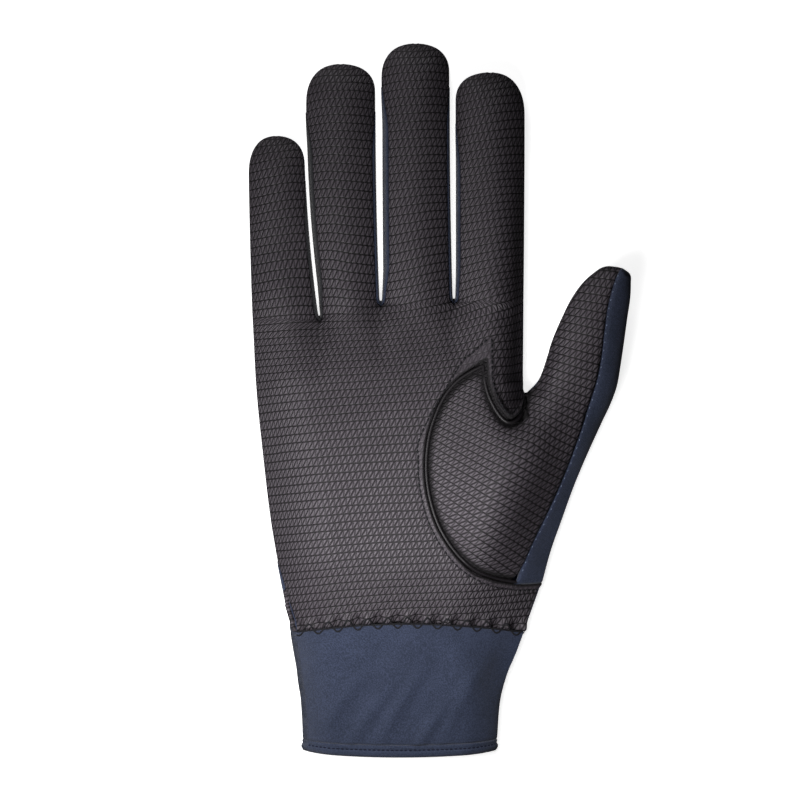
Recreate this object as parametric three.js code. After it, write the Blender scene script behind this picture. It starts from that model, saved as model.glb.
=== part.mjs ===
// A right-hand riding glove that lies on its back with the palm up: grip leather on the palm side,
// stretch fabric on the back, between the fingers and on the cuff. Millimetres, +Y towards the
// fingertips, +X towards the thumb, +Z up from the surface that the glove lies on.
import * as THREE from "three";

// Walls and seams
const LEATHER_WALL = 1.2;
const FABRIC_WALL = 1.0;
const SEAM_GAP = 0.3; // between two panels that are sewn edge to edge
const SHARPEST_MITRE = 0.3;

// Palm and cuff, seen from above
const PALM_LENGTH = 107; // wrist seam to the crotch of middle and index finger
const WRIST_WIDTH = 78.2;
const WRIST_SHIFT = 6.35; // centre of the wrist beside the centre of the knuckles
const HEM_WIDTH = 64.2;
const HEM_SHIFT = 3.9;
const CUFF_LENGTH = 44.3;
const HEM_BAND = 4.2; // width of the folded hem
const HEM_PROUD = 0.6; // how far the folded hem stands out of the cuff
const HEM_BOW = 1.6; // how far the middle of the hem hangs below its corners
const WRIST_SEAM_RISE = 3.4; // how far the wrist seam arches above its ends
const SIDE_WRAP = 2.2; // how far the back shows round the little-finger side at the wrist
const SIDE_WRAP_LENGTH = 20;

// Fingers
const PINKY_WIDTH = 18.8;
const RING_WIDTH = 23.4;
const MIDDLE_WIDTH = 23;
const INDEX_WIDTH = 23.4;
const PINKY_LENGTH = 61;
const RING_LENGTH = 82.5;
const MIDDLE_LENGTH = 86.5;
const INDEX_LENGTH = 76.5;
const PINKY_RING_SLOT = 0.5;
const RING_MIDDLE_SLOT = 1.8;
const MIDDLE_INDEX_SLOT = 1.8;
const CROTCH_SLOT = 0.7; // slot between two fingers where it begins
const PINKY_CROTCH_DROP = 5.7; // below the crotch of middle and index finger
const RING_CROTCH_DROP = 0.7;
const FLARE_LENGTH = 70; // stretch over which the roots settle into the straight fingers
const FINGER_LEAN = 0.8; // how far the straight fingers stand over towards the little finger
const FOURCHETTE_HEIGHT = 6; // strip between two fingers, palm seam to back seam
const FOURCHETTE_BULGE = 0.8; // how far the strip stands out of its two seams
const FOURCHETTE_TAPER = 16;

// Thumb and the opening that it is set into
const THUMB_LENGTH = 50.2; // from the crotch to the tip
const THUMB_WIDTH = 24;
const THUMB_LEAN = 18.5; // degrees away from the fingers
const THUMB_LIFT = 5; // how far the tip is off the surface
const THUMB_CROTCH_DROP = 31.3; // below the crotch of middle and index finger
const THUMB_FOOT_HEIGHT = 12.7; // above the wrist seam
const THUMB_FOOT_FLARE = 5.9;
const KEYHOLE_WIDTH = 33.5; // how far the thumb opening reaches in from the index side
const KEYHOLE_APEX_DROP = 20.3; // below the crotch of middle and index finger
const THUMB_STRIP = 7.5; // width of the back fabric that shows beside the thumb leather
const THUMB_LAP = 2.5; // how far the thumb goes under the edge of the opening
const LAP_CLEARANCE = 0.8;
const LAP_FADE = 9; // distance in which the thumb comes up again
const WELT_RADIUS = 0.8;
const WELT_CLEARANCE = 0.7;

// Heights above the surface
const PALM_HEIGHT = 23;
const CUFF_HEIGHT = 16;
const FINGER_HEIGHT = 15.5;
const THUMB_HEIGHT = 17;
const PALM_SEAM_HEIGHT = 8;
const FINGER_SEAM_HEIGHT = 6.5;
const PALM_ROUND = 15; // width of the rounded edge
const UNDER_ROUND = 5.5; // width of the rounded edge below the side seam
const CROTCH_ROUND = 9;
const THUMB_CROTCH_ROUND = 14;

// Fingers from the little finger to the index: root and height are shares of the finger's own
// width and of FINGER_HEIGHT, tips are shares of the width over which each shoulder rounds off.
const FINGERS = [
  { width: PINKY_WIDTH, length: PINKY_LENGTH, root: 1.2, height: 0.88, tipLeft: 0.7, tipRight: 0.5 },
  { width: RING_WIDTH, length: RING_LENGTH, root: 0.88, height: 0.98, tipLeft: 0.56, tipRight: 0.4 },
  { width: MIDDLE_WIDTH, length: MIDDLE_LENGTH, root: 1.06, height: 1.0, tipLeft: 0.5, tipRight: 0.42 },
  { width: INDEX_WIDTH, length: INDEX_LENGTH, root: 0.99, height: 0.98, tipLeft: 0.4, tipRight: 0.62 },
];
const SLOTS = [PINKY_RING_SLOT, RING_MIDDLE_SLOT, MIDDLE_INDEX_SLOT];

// Sections of the palm and cuff, wrist seam at 0: side is the way of the little-finger edge from
// the wrist out to the knuckle, height and round are shares of PALM_HEIGHT and PALM_ROUND.
const PALM_SECTIONS = [
  { along: 0, side: 0, height: 0.7, round: 0.8 },
  { along: 0.08, side: 0.15, height: 0.83, round: 0.9 },
  { along: 0.2, side: 0.34, height: 0.97, round: 1.0 },
  { along: 0.35, side: 0.54, height: 1.0, round: 1.05 },
  { along: 0.55, side: 0.73, height: 0.95, round: 1.0 },
  { along: 0.75, side: 0.89, height: 0.86, round: 0.85 },
  { along: 1, side: 1.0, height: 0.74, round: 0.7 },
];
const CUFF_SECTIONS = [
  { along: 0, way: 0, height: 1.0 },
  { along: 0.15, way: 0.22, height: 1.02 },
  { along: 0.35, way: 0.55, height: 1.02 },
  { along: 0.6, way: 0.83, height: 0.98 },
  { along: 1, way: 1, height: 0.94 },
];

// Pads and hollows of the palm: places are shares of the knuckle width and PALM_LENGTH, spreads
// too, and rise is a share of PALM_HEIGHT.
const PADS = [
  { across: 0.4, along: 0.36, spreadX: 0.17, spreadY: 0.24, rise: 0.13 },
  { across: -0.3, along: 0.35, spreadX: 0.14, spreadY: 0.3, rise: 0.06 },
  { across: 0.02, along: 0.5, spreadX: 0.15, spreadY: 0.26, rise: -0.14 },
  { across: -0.25, along: 0.86, spreadX: 0.04, spreadY: 0.1, rise: -0.07 },
  { across: -0.03, along: 0.86, spreadX: 0.04, spreadY: 0.1, rise: -0.08 },
  { across: 0.24, along: 0.86, spreadX: 0.04, spreadY: 0.1, rise: -0.07 },
];

// The edge of the thumb opening from the foot up to its apex, and from the apex round the tongue
// to the thumb crotch: in is a share of KEYHOLE_WIDTH from the index side, up goes from the
// foot at 0 to the apex at 1.
const KEYHOLE_LONG = [
  { in: 0.093, up: 0.002 },
  { in: 0.433, up: 0.045 },
  { in: 0.66, up: 0.122 },
  { in: 0.85, up: 0.243 },
  { in: 0.958, up: 0.378 },
  { in: 1.0, up: 0.514 },
  { in: 0.98, up: 0.649 },
  { in: 0.91, up: 0.761 },
  { in: 0.8, up: 0.86 },
  { in: 0.642, up: 0.936 },
  { in: 0.391, up: 1.0 },
];
const TONGUE = [
  { in: 0.391, up: 1.0 },
  { in: 0.382, up: 0.927 },
  { in: 0.343, up: 0.851 },
  { in: 0.254, up: 0.774 },
  { in: 0.164, up: 0.738 },
  { in: 0.075, up: 0.757 },
  { in: 0.024, up: 0.8 },
];

// Sections of the free thumb: along is a share of THUMB_LENGTH, left and right of its axis are
// shares of THUMB_WIDTH, strip is a share of THUMB_STRIP, height of THUMB_HEIGHT.
const THUMB_SECTIONS = [
  { along: 0, left: 0.575, right: 0.575, strip: 0.85, height: 1.0 },
  { along: 0.12, left: 0.455, right: 0.605, strip: 0.95, height: 1.0 },
  { along: 0.25, left: 0.44, right: 0.61, strip: 1.0, height: 1.0 },
  { along: 0.4, left: 0.45, right: 0.56, strip: 0.98, height: 0.98 },
  { along: 0.55, left: 0.427, right: 0.5, strip: 1.0, height: 0.95 },
  { along: 0.7, left: 0.385, right: 0.437, strip: 1.0, height: 0.9 },
  { along: 0.82, left: 0.31, right: 0.39, strip: 0.93, height: 0.85 },
  { along: 0.92, left: 0.19, right: 0.33, strip: 0.75, height: 0.8 },
  { along: 0.98, left: 0.06, right: 0.27, strip: 0.5, height: 0.76 },
  { along: 1, left: -0.14, right: 0.14, strip: 0, height: 0.72 },
];
// The thumb's outer side between its foot and the crotch section.
const THUMB_SIDE = [
  { way: 0, out: 0, strip: 1.25 },
  { way: 0.2, out: 0.145, strip: 1.05 },
  { way: 0.4, out: 0.335, strip: 0.75 },
  { way: 0.6, out: 0.53, strip: 0.61 },
  { way: 0.8, out: 0.755, strip: 0.65 },
  { way: 1, out: 1, strip: 0.85 },
];

// Faces: how finely each panel is divided
const FINGER_COLUMNS = 8;
const BACK_COLUMNS = 4;
const SHAFT_ROWS = 7;
const TIP_ROWS = 4;
const HEEL_ROWS = 3;
const TONGUE_ROWS = 4;
const KEYHOLE_ROWS = 12;
const KNUCKLE_ROWS = 4;
const STRIP_COLUMNS = 6; // palm columns below the foot of the opening
const CUFF_ROWS = 5;
const HEM_ROWS = 2;
const WELT_PIECES = 52;
const WELT_SIDES = 6;
const THUMB_COLUMNS = 7;
const THUMB_BASE_ROWS = KEYHOLE_ROWS - TONGUE_ROWS;
const LAP_COLUMNS = 5;
const THUMB_BACK_COLUMNS = 4;
const THUMB_STRIP_COLUMNS = 2;
const TIP_POWER = 2.3; // how square a fingertip is
const EDGE_CROWDING = 1.35; // above 1, columns crowd towards the rounded edge
const ROOT_CROWDING = 1.45; // above 1, rows crowd towards the crotches

const lerp = THREE.MathUtils.lerp;
const clamp = THREE.MathUtils.clamp;
const smooth = (t) => THREE.MathUtils.smoothstep(t, 0, 1);
const range = (count) => Array.from({ length: count }, (_, i) => i);
const mix = (a, b, t) => new THREE.Vector2(lerp(a.x, b.x, t), lerp(a.y, b.y, t));

// A column of a table at a place between its rows, with rounded transitions.
function read(table, key, place, column) {
  const last = table.length - 1;
  if (place <= table[0][key]) return table[0][column];
  if (place >= table[last][key]) return table[last][column];
  const i = table.findIndex((row) => row[key] > place) - 1;
  const [before, from, to, after] = [i - 1, i, i + 1, i + 2].map((n) => table[clamp(n, 0, last)]);
  const step = to[key] - from[key];
  const slope = (a, b) => ((b[column] - a[column]) / Math.max(b[key] - a[key], 1e-6)) * step;
  const t = (place - from[key]) / step;
  const h = t * t * (3 - 2 * t);
  const start = slope(before, to) * t * (1 - t) * (1 - t);
  const end = slope(from, after) * t * t * (t - 1);
  return lerp(from[column], to[column], h) + start + end;
}

// Plan of the knuckles
const knuckleEdges = [0];
FINGERS.forEach((f) => knuckleEdges.push(knuckleEdges.at(-1) + f.width * f.root));
const KNUCKLE_WIDTH = knuckleEdges.at(-1);
const lanes = knuckleEdges.map((x) => x - KNUCKLE_WIDTH / 2);
const INDEX_SIDE = lanes[4];
const crotchY = [PALM_LENGTH - PINKY_CROTCH_DROP, PALM_LENGTH - RING_CROTCH_DROP, PALM_LENGTH];
const FLARE_START = Math.min(...crotchY);
const flare = (y) => 1 - (1 - clamp((y - FLARE_START) / FLARE_LENGTH, 0, 1)) ** 2;

// Each finger's two edges: at the root they share the knuckle width, higher up they are straight.
const fingers = FINGERS.map((f, i) => ({
  ...f,
  rootLeft: lanes[i] + (i > 0 ? CROTCH_SLOT / 2 : 0),
  rootRight: lanes[i + 1] - (i < 3 ? CROTCH_SLOT / 2 : 0),
  rootY: [crotchY[Math.max(i - 1, 0)], crotchY[Math.min(i, 2)]],
}));
fingers[2].shaftLeft = (lanes[2] + lanes[3] - MIDDLE_WIDTH) / 2 - FINGER_LEAN;
fingers[1].shaftLeft = fingers[2].shaftLeft - SLOTS[1] - RING_WIDTH;
fingers[0].shaftLeft = fingers[1].shaftLeft - SLOTS[0] - PINKY_WIDTH;
fingers[3].shaftLeft = fingers[2].shaftLeft + MIDDLE_WIDTH + SLOTS[2];
fingers.forEach((f) => {
  f.tipY = (f.rootY[0] + f.rootY[1]) / 2 + f.length;
  f.shoulderY = f.tipY - Math.max(f.tipLeft, f.tipRight) * f.width;
});

function tipShare(f, y, shoulder) {
  const reach = shoulder * f.width;
  const t = clamp((y - f.tipY + reach) / reach, 0, 1);
  return (1 - t ** TIP_POWER) ** (1 / TIP_POWER);
}

// A finger's edges at y, as its centre and the half width on each side.
function fingerAt(f, y) {
  const left = lerp(f.rootLeft, f.shaftLeft, flare(y));
  const right = lerp(f.rootRight, f.shaftLeft + f.width, flare(y));
  const centre = (left + right) / 2;
  const half = (right - left) / 2;
  return {
    half,
    edge: [left, right],
    left: centre - half * tipShare(f, y, f.tipLeft),
    right: centre + half * tipShare(f, y, f.tipRight),
  };
}

// Middle of each slot between two fingers, carried on down into the palm.
const slotXs = (y) => [0, 1, 2].map((i) => (fingerAt(fingers[i], y).edge[1] + fingerAt(fingers[i + 1], y).edge[0]) / 2);
const crotches = crotchY.map((y, i) => {
  const x = (fingerAt(fingers[i], y).right + fingerAt(fingers[i + 1], y).left) / 2;
  return new THREE.Vector2(x, y);
});
// How far the strip between fingers has opened at y, 0 at its upper end and 1 lower down.
const fourchetteEnd = (i) => fingers[i].shoulderY - FOURCHETTE_TAPER / 8;
const fourchetteOpen = (i, y) => smooth((fourchetteEnd(i) - y) / FOURCHETTE_TAPER);

// Plan of the palm's sides and of the cuff
const wristLeft = WRIST_SHIFT - WRIST_WIDTH / 2;
const wristRight = WRIST_SHIFT + WRIST_WIDTH / 2;
const foot = new THREE.Vector2(wristRight + THUMB_FOOT_FLARE, THUMB_FOOT_HEIGHT);
const thumbCrotch = new THREE.Vector2(INDEX_SIDE, PALM_LENGTH - THUMB_CROTCH_DROP);
const leftEdge = (y) => lerp(wristLeft, lanes[0], read(PALM_SECTIONS, "along", y / FLARE_START, "side"));
const heelEdge = (y) => lerp(wristRight, foot.x, (y + WRIST_SEAM_RISE) / (foot.y + WRIST_SEAM_RISE));
function cuffEdges(down) {
  const way = read(CUFF_SECTIONS, "along", down / CUFF_LENGTH, "way");
  const half = lerp(WRIST_WIDTH, HEM_WIDTH, way) / 2;
  const centre = lerp(WRIST_SHIFT, HEM_SHIFT, way);
  return [centre - half, centre + half];
}

// Plan of the thumb
const lean = THREE.MathUtils.degToRad(THUMB_LEAN);
const thumbUp = new THREE.Vector2(Math.sin(lean), Math.cos(lean));
const thumbOut = new THREE.Vector2(Math.cos(lean), -Math.sin(lean));
const thumbRoot = thumbCrotch.clone().addScaledVector(thumbOut, THUMB_SECTIONS[0].left * THUMB_WIDTH);
function thumbPoint(along, across) {
  return thumbRoot.clone().addScaledVector(thumbUp, along).addScaledVector(thumbOut, across);
}
const thumbAlong = (p) => p.clone().sub(thumbRoot).dot(thumbUp);
const thumbRows = THUMB_SECTIONS.map((s) => ({
  left: thumbPoint(s.along * THUMB_LENGTH, -s.left * THUMB_WIDTH),
  right: thumbPoint(s.along * THUMB_LENGTH, s.right * THUMB_WIDTH),
  strip: s.strip * THUMB_STRIP,
}));
const thumbShoulder = thumbRows[0].right;
function thumbSide(way) {
  const out = read(THUMB_SIDE, "way", way, "out");
  return new THREE.Vector2(lerp(foot.x, thumbShoulder.x, out), lerp(foot.y, thumbShoulder.y, way));
}

// The edge of the thumb opening
const apexY = PALM_LENGTH - KEYHOLE_APEX_DROP;
function keyholePoint(row) {
  return new THREE.Vector2(INDEX_SIDE - row.in * KEYHOLE_WIDTH, lerp(foot.y, apexY, row.up));
}
const longEdge = new THREE.SplineCurve([foot, ...KEYHOLE_LONG.map(keyholePoint)]);
const tongueEdge = new THREE.SplineCurve([...TONGUE.map(keyholePoint), thumbCrotch]);
const apex = keyholePoint(TONGUE[0]);
const cornerRow = 0.16; // share of the long edge where it turns from the heel up the palm
const corner = longEdge.getPointAt(cornerRow);

// The whole outline, seen from above, as points that say how the wall curves in from there.
const outline = [];
function border(p, round, seam, half = 0) {
  const tuck = (FOURCHETTE_BULGE * half * 2) / FOURCHETTE_HEIGHT;
  outline.push({ x: p.x, y: p.y, round, seam, half, tuck });
}
const palmRound = (y) => PALM_ROUND * read(PALM_SECTIONS, "along", y / PALM_LENGTH, "round");
const cuffRound = PALM_ROUND * PALM_SECTIONS[0].round;

// Where the rows of the palm meet its little-finger edge
const heelYs = range(HEEL_ROWS).map((i) => (corner.y * i) / HEEL_ROWS);
const keyholeYs = range(KEYHOLE_ROWS).map((i) => lerp(corner.y, apexY, i / KEYHOLE_ROWS));
const knuckleYs = range(KNUCKLE_ROWS).map((i) => lerp(apexY, crotchY[0], i / KNUCKLE_ROWS));
const leftYs = [...heelYs, ...keyholeYs, ...knuckleYs];

// Rows of one finger: y on the left and right edge, for the shaft and then the tip.
function fingerRows(f) {
  const shaft = range(SHAFT_ROWS).map((j) =>
    f.rootY.map((y) => lerp(y, f.shoulderY, (j / SHAFT_ROWS) ** ROOT_CROWDING)),
  );
  const tip = range(TIP_ROWS + 1).map((j) => {
    const share = Math.sin(((j / (TIP_ROWS + 1)) * Math.PI) / 2) ** (2 / TIP_POWER);
    const y = lerp(f.shoulderY, f.tipY, share);
    return [y, y];
  });
  return [...shaft, ...tip, [f.tipY, f.tipY]];
}
const rowsOf = fingers.map(fingerRows);

function borderFinger(i) {
  const f = fingers[i];
  const sides = [
    { key: "left", inner: i > 0, ys: rowsOf[i].slice(i > 0 ? 1 : 0).map((r) => r[0]) },
    { key: "right", inner: i < 3, ys: rowsOf[i].slice(i < 3 ? 1 : 0).map((r) => r[1]).reverse() },
  ];
  sides.forEach(({ key, inner, ys }) =>
    ys.forEach((y) => {
      const at = fingerAt(f, y);
      const half = inner ? (fourchetteOpen(i, y) * FOURCHETTE_HEIGHT) / 2 : 0;
      const settle = inner ? 1 : smooth((y - crotchY[0]) / (f.width * 1.5));
      const round = lerp(palmRound(y), at.half, settle);
      const seam = lerp(PALM_SEAM_HEIGHT, FINGER_SEAM_HEIGHT, settle);
      border(new THREE.Vector2(at[key], y), Math.min(round, at.half), seam, half);
    }),
  );
  if (i < 3) border(crotches[i], CROTCH_ROUND, FINGER_SEAM_HEIGHT, FOURCHETTE_HEIGHT / 2);
}

// The cuff's outline runs on past the hem, so that the mouth stays open at full height.
const cuffDowns = range(CUFF_ROWS + 1).map((i) => (CUFF_LENGTH * 1.3 * (CUFF_ROWS - i)) / CUFF_ROWS);
const cuffSideY = (down) => lerp(-WRIST_SEAM_RISE, HEM_BOW, down / CUFF_LENGTH) - down;
function borderCuff(side) {
  const points = cuffDowns.map((d) => new THREE.Vector2(cuffEdges(d)[side], cuffSideY(d)));
  if (side === 1) points.reverse();
  points.forEach((p) => border(p, cuffRound, PALM_SEAM_HEIGHT));
}
borderCuff(0);
leftYs.forEach((y) => border(new THREE.Vector2(leftEdge(y), y), palmRound(y), PALM_SEAM_HEIGHT));
range(4).forEach(borderFinger);
const indexSideYs = range(KNUCKLE_ROWS + 1).map((i) => lerp(crotchY[2], thumbCrotch.y, i / (KNUCKLE_ROWS + 1)));
indexSideYs.slice(1).forEach((y) => {
  const round = lerp(THUMB_CROTCH_ROUND, fingers[3].width / 2, (y - thumbCrotch.y) / THUMB_CROTCH_DROP);
  border(new THREE.Vector2(INDEX_SIDE, y), round, PALM_SEAM_HEIGHT);
});
border(thumbCrotch, THUMB_CROTCH_ROUND, PALM_SEAM_HEIGHT);
const thumbHalf = (row) => row.left.distanceTo(row.right) / 2;
thumbRows.slice(1).forEach((row) => border(row.left, Math.max(thumbHalf(row), 1), PALM_SEAM_HEIGHT));
[...thumbRows].slice(0, -1).reverse().forEach((row) => border(row.right, thumbHalf(row), PALM_SEAM_HEIGHT));
range(THUMB_BASE_ROWS)
  .slice(1)
  .reverse()
  .forEach((i) => border(thumbSide(i / THUMB_BASE_ROWS), thumbHalf(thumbRows[0]), PALM_SEAM_HEIGHT));
border(foot, PALM_ROUND, PALM_SEAM_HEIGHT);
borderCuff(1);

// The nearest place on the outline, with its distance.
function nearest(x, y) {
  let best = { distance: Infinity };
  for (let i = 1; i < outline.length; i++) {
    const [a, b] = [outline[i - 1], outline[i]];
    const [dx, dy] = [b.x - a.x, b.y - a.y];
    const t = clamp(((x - a.x) * dx + (y - a.y) * dy) / Math.max(dx * dx + dy * dy, 1e-9), 0, 1);
    const distance = Math.hypot(x - a.x - t * dx, y - a.y - t * dy);
    if (distance < best.distance) best = { a, b, t, distance };
  }
  const value = (key) => lerp(best.a[key], best.b[key], best.t);
  const inside = Math.max(best.distance - value("tuck"), 0);
  return { inside, round: value("round"), seam: value("seam"), half: value("half") };
}
const quarter = (t) => Math.sqrt(1 - (1 - clamp(t, 0, 1)) ** 2);

// Height of the full surface away from any edge.
function crown(x, y) {
  const knuckle = smooth((y - FLARE_START + 22) / 24);
  const finger = fingers[slotXs(y).filter((slot) => x > slot).length];
  const past = clamp((y - finger.rootY[0]) / finger.length, 0, 1);
  const fingerTop = FINGER_HEIGHT * finger.height * (1 - 0.12 * past * past);
  const rootTop = FINGER_HEIGHT * FINGERS[2].height;
  const onFinger = lerp(rootTop, fingerTop, smooth((y - FLARE_START) / 25));
  const cuffTop = CUFF_HEIGHT * read(CUFF_SECTIONS, "along", -y / CUFF_LENGTH, "height");
  const palmTop = PALM_HEIGHT * read(PALM_SECTIONS, "along", y / PALM_LENGTH, "height");
  let top = lerp(y < 0 ? cuffTop : palmTop, onFinger, knuckle);
  for (const pad of PADS) {
    const dx = (x - pad.across * KNUCKLE_WIDTH) / (pad.spreadX * KNUCKLE_WIDTH);
    const dy = (y - pad.along * PALM_LENGTH) / (pad.spreadY * PALM_LENGTH);
    top += pad.rise * PALM_HEIGHT * Math.exp(-dx * dx - dy * dy);
  }
  const along = thumbAlong(new THREE.Vector2(x, y));
  const thumbSideX = INDEX_SIDE - 9 * (1 - smooth((y - thumbCrotch.y) / 8));
  const onThumb = smooth((along + 25) / 28) * smooth((x - thumbSideX) / 16);
  const thumbTop = THUMB_HEIGHT * read(THUMB_SECTIONS, "along", along / THUMB_LENGTH, "height");
  return lerp(top, thumbTop, onThumb);
}
function topOf(x, y) {
  const near = nearest(x, y);
  return lerp(near.seam + near.half, crown(x, y), quarter(near.inside / near.round));
}
function underOf(x, y) {
  const near = nearest(x, y);
  return (near.seam - near.half) * (1 - quarter(near.inside / UNDER_ROUND));
}
const above = (p) => new THREE.Vector3(p.x, p.y, topOf(p.x, p.y));
const below = (p) => new THREE.Vector3(p.x, p.y, underOf(p.x, p.y));

// A panel of the skin, as a surface without thickness: rows of points, where a row may narrow to
// one point. Columns and then rows turn about the outward direction.
const keyOf = (p) => [p.x, p.y, p.z].map((v) => Math.round(v * 200)).join();
class Panel {
  constructor(name, wall, material) {
    Object.assign(this, { name, wall, material, points: [], faces: [], index: new Map() });
  }
  vertex(p) {
    const key = keyOf(p);
    if (!this.index.has(key)) this.index.set(key, this.points.push(p) - 1);
    return this.index.get(key);
  }
  face(...corners) {
    if (new Set(corners).size === 3) this.faces.push(corners);
  }
  grid(rows) {
    const ids = rows.map((row) => row.map((p) => this.vertex(p)));
    for (let j = 1; j < ids.length; j++)
      for (let k = 1; k < ids[j].length; k++) {
        const [a, b, c, d] = [ids[j - 1][k - 1], ids[j - 1][k], ids[j][k], ids[j][k - 1]];
        const even = this.points[a].distanceTo(this.points[c]) <= this.points[b].distanceTo(this.points[d]);
        if (even) [this.face(a, b, c), this.face(a, c, d)];
        else [this.face(a, b, d), this.face(b, c, d)];
      }
    return this;
  }
}

const leather = { color: 0x2b292c, roughness: 0.62, metalness: 0 };
const fabric = { color: 0x2c3650, roughness: 0.85, metalness: 0 };
const darkFabric = { color: 0x131316, roughness: 0.8, metalness: 0 };

// Columns of a row between two edges: even in angle on a finger, crowded at a rounded edge.
const turned = (count) => range(count + 1).map((k) => (1 - Math.cos((Math.PI * k) / count)) / 2);
const crowded = (count) => range(count + 1).map((k) => (k / count) ** EDGE_CROWDING);

// The plan of one finger row, pulled in to the seam of the strips between fingers.
function fingerPlan(i, j, shares) {
  const f = fingers[i];
  const [yLeft, yRight] = rowsOf[i][j];
  const tuck = (inner, y) => (inner ? FOURCHETTE_BULGE * fourchetteOpen(i, y) : 0);
  const ends = [
    new THREE.Vector2(fingerAt(f, yLeft).left + tuck(i > 0, yLeft), yLeft),
    new THREE.Vector2(fingerAt(f, yRight).right - tuck(i < 3, yRight), yRight),
  ];
  if (j === 0 && i > 0) ends[0] = crotches[i - 1].clone().setY(crotches[i - 1].y - FOURCHETTE_BULGE);
  if (j === 0 && i < 3) ends[1] = crotches[i].clone().setY(crotches[i].y - FOURCHETTE_BULGE);
  return shares.map((s) => mix(ends[0], ends[1], s));
}
const rootPlan = (shares) =>
  range(4).flatMap((i) => fingerPlan(i, 0, shares).slice(i > 0 ? 1 : 0));

// Palm side
const palm = new Panel("palm_leather", LEATHER_WALL, leather);
const apexColumn = 3.5 * FINGER_COLUMNS;
const root = rootPlan(turned(FINGER_COLUMNS));
const leftWrap = (y) => SIDE_WRAP * clamp(1 - y / SIDE_WRAP_LENGTH, 0, 1);
const rowStart = (y) => new THREE.Vector2(leftEdge(y) + leftWrap(y), y);
const apexStart = rowStart(apexY).x;
const apexRow = root.map((p, k) => {
  const [from, to] = k <= apexColumn ? [apexStart, apex.x] : [apex.x, INDEX_SIDE];
  const [start, end] = k <= apexColumn ? [root[0].x, root[apexColumn].x] : [root[apexColumn].x, root.at(-1).x];
  return new THREE.Vector2(lerp(from, to, (p.x - start) / (end - start)), apexY);
});

// Point of the long edge of the opening at height y, on the side that faces the palm.
function longEdgeAt(y) {
  let [low, high] = [cornerRow, 1];
  for (let i = 0; i < 40; i++) {
    const middle = (low + high) / 2;
    if (longEdge.getPointAt(middle).y < y) low = middle;
    else high = middle;
  }
  return longEdge.getPointAt(low);
}
const besideYs = [...keyholeYs, apexY];
const besideRows = besideYs.map((y, j) => {
  const start = rowStart(y);
  const end = j === KEYHOLE_ROWS ? apex : j === 0 ? corner : longEdgeAt(y);
  const settle = smooth((y - corner.y) / (apexY - corner.y));
  return crowded(apexColumn).map((share, k) => {
    const upper = (apexRow[k].x - apexStart) / (apex.x - apexStart);
    return mix(start, end, lerp(share, upper, settle));
  });
});
const stripTop = range(STRIP_COLUMNS + 1).map((k) => longEdge.getPointAt(cornerRow * (1 - k / STRIP_COLUMNS)));
const seamY = (share) => WRIST_SEAM_RISE * (1 - (2 * share - 1) ** 2) - WRIST_SEAM_RISE;
function wristPoint(x) {
  return new THREE.Vector2(x, seamY((x - wristLeft) / WRIST_WIDTH));
}
const wristTop = [
  ...crowded(apexColumn).map((s) => wristPoint(lerp(rowStart(0).x, corner.x, s))),
  ...range(STRIP_COLUMNS).map((k) => {
    const s = 1 - (1 - (k + 1) / STRIP_COLUMNS) ** EDGE_CROWDING;
    return wristPoint(lerp(corner.x, wristRight, s));
  }),
];
const heelTop = [...besideRows[0], ...stripTop.slice(1)];
const heelRows = range(HEEL_ROWS + 1).map((j) =>
  heelTop.map((p, k) => {
    const t = j / HEEL_ROWS;
    const flat = mix(wristTop[k], p, t);
    const last = heelTop.length - 1;
    const y = lerp(wristTop[k].y, p.y, t);
    if (k === 0) return j === 0 ? flat : new THREE.Vector2(rowStart(y).x, y);
    if (k === last) return new THREE.Vector2(heelEdge(y), y);
    return flat;
  }),
);
palm.grid(heelRows.map((row) => row.map(above)));
palm.grid(besideRows.map((row) => row.map(above)));
const knuckleRows = range(KNUCKLE_ROWS + 1).map((j) =>
  apexRow.map((p, k) => {
    const t = j / KNUCKLE_ROWS;
    const point = mix(p, root[k], t);
    if (k === 0) point.x = leftEdge(point.y) + leftWrap(point.y);
    return point;
  }),
);
palm.grid(knuckleRows.map((row) => row.map(above)));

// The tongue between the thumb opening and the index side, filled in between its four edges.
function filled(bottom, top, left, right) {
  const [n, m] = [bottom.length - 1, left.length - 1];
  return range(m + 1).map((j) =>
    range(n + 1).map((k) => {
      const [u, v] = [k / n, j / m];
      const across = mix(left[j], right[j], u);
      const up = mix(bottom[k], top[k], v);
      const corners = mix(mix(bottom[0], bottom[n], u), mix(top[0], top[n], u), v);
      return across.add(up).sub(corners);
    }),
  );
}
const tongueTurn = 0.42; // share of the tongue's edge that belongs to its left side
const tongueColumns = FINGER_COLUMNS / 2;
const tongue = filled(
  range(tongueColumns + 1).map((k) => tongueEdge.getPointAt(lerp(tongueTurn, 1, k / tongueColumns))),
  apexRow.slice(apexColumn),
  range(TONGUE_ROWS + 1).map((j) => tongueEdge.getPointAt(tongueTurn * (1 - j / TONGUE_ROWS))),
  range(TONGUE_ROWS + 1).map((j) => mix(thumbCrotch, apexRow.at(-1), j / TONGUE_ROWS)),
);
palm.grid(tongue.map((row) => row.map(above)));
range(4).forEach((i) => {
  palm.grid(rowsOf[i].map((_, j) => fingerPlan(i, j, turned(FINGER_COLUMNS)).map(above)));
});

// Back side, on the surface
const back = new Panel("back_fabric", FABRIC_WALL, fabric);
const laneShares = [0, 0.14, 0.5, 0.86, 1];
const backRoot = rootPlan(laneShares);
const backColumns = backRoot.length - 1;
const evenShares = range(backColumns + 1).map((k) => {
  const s = k / backColumns;
  return s - (0.8 * Math.sin(2 * Math.PI * s)) / (2 * Math.PI);
});
const footRow = HEEL_ROWS;
const crotchRow = HEEL_ROWS + KEYHOLE_ROWS - TONGUE_ROWS;
const apexLine = HEEL_ROWS + KEYHOLE_ROWS;
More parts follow.
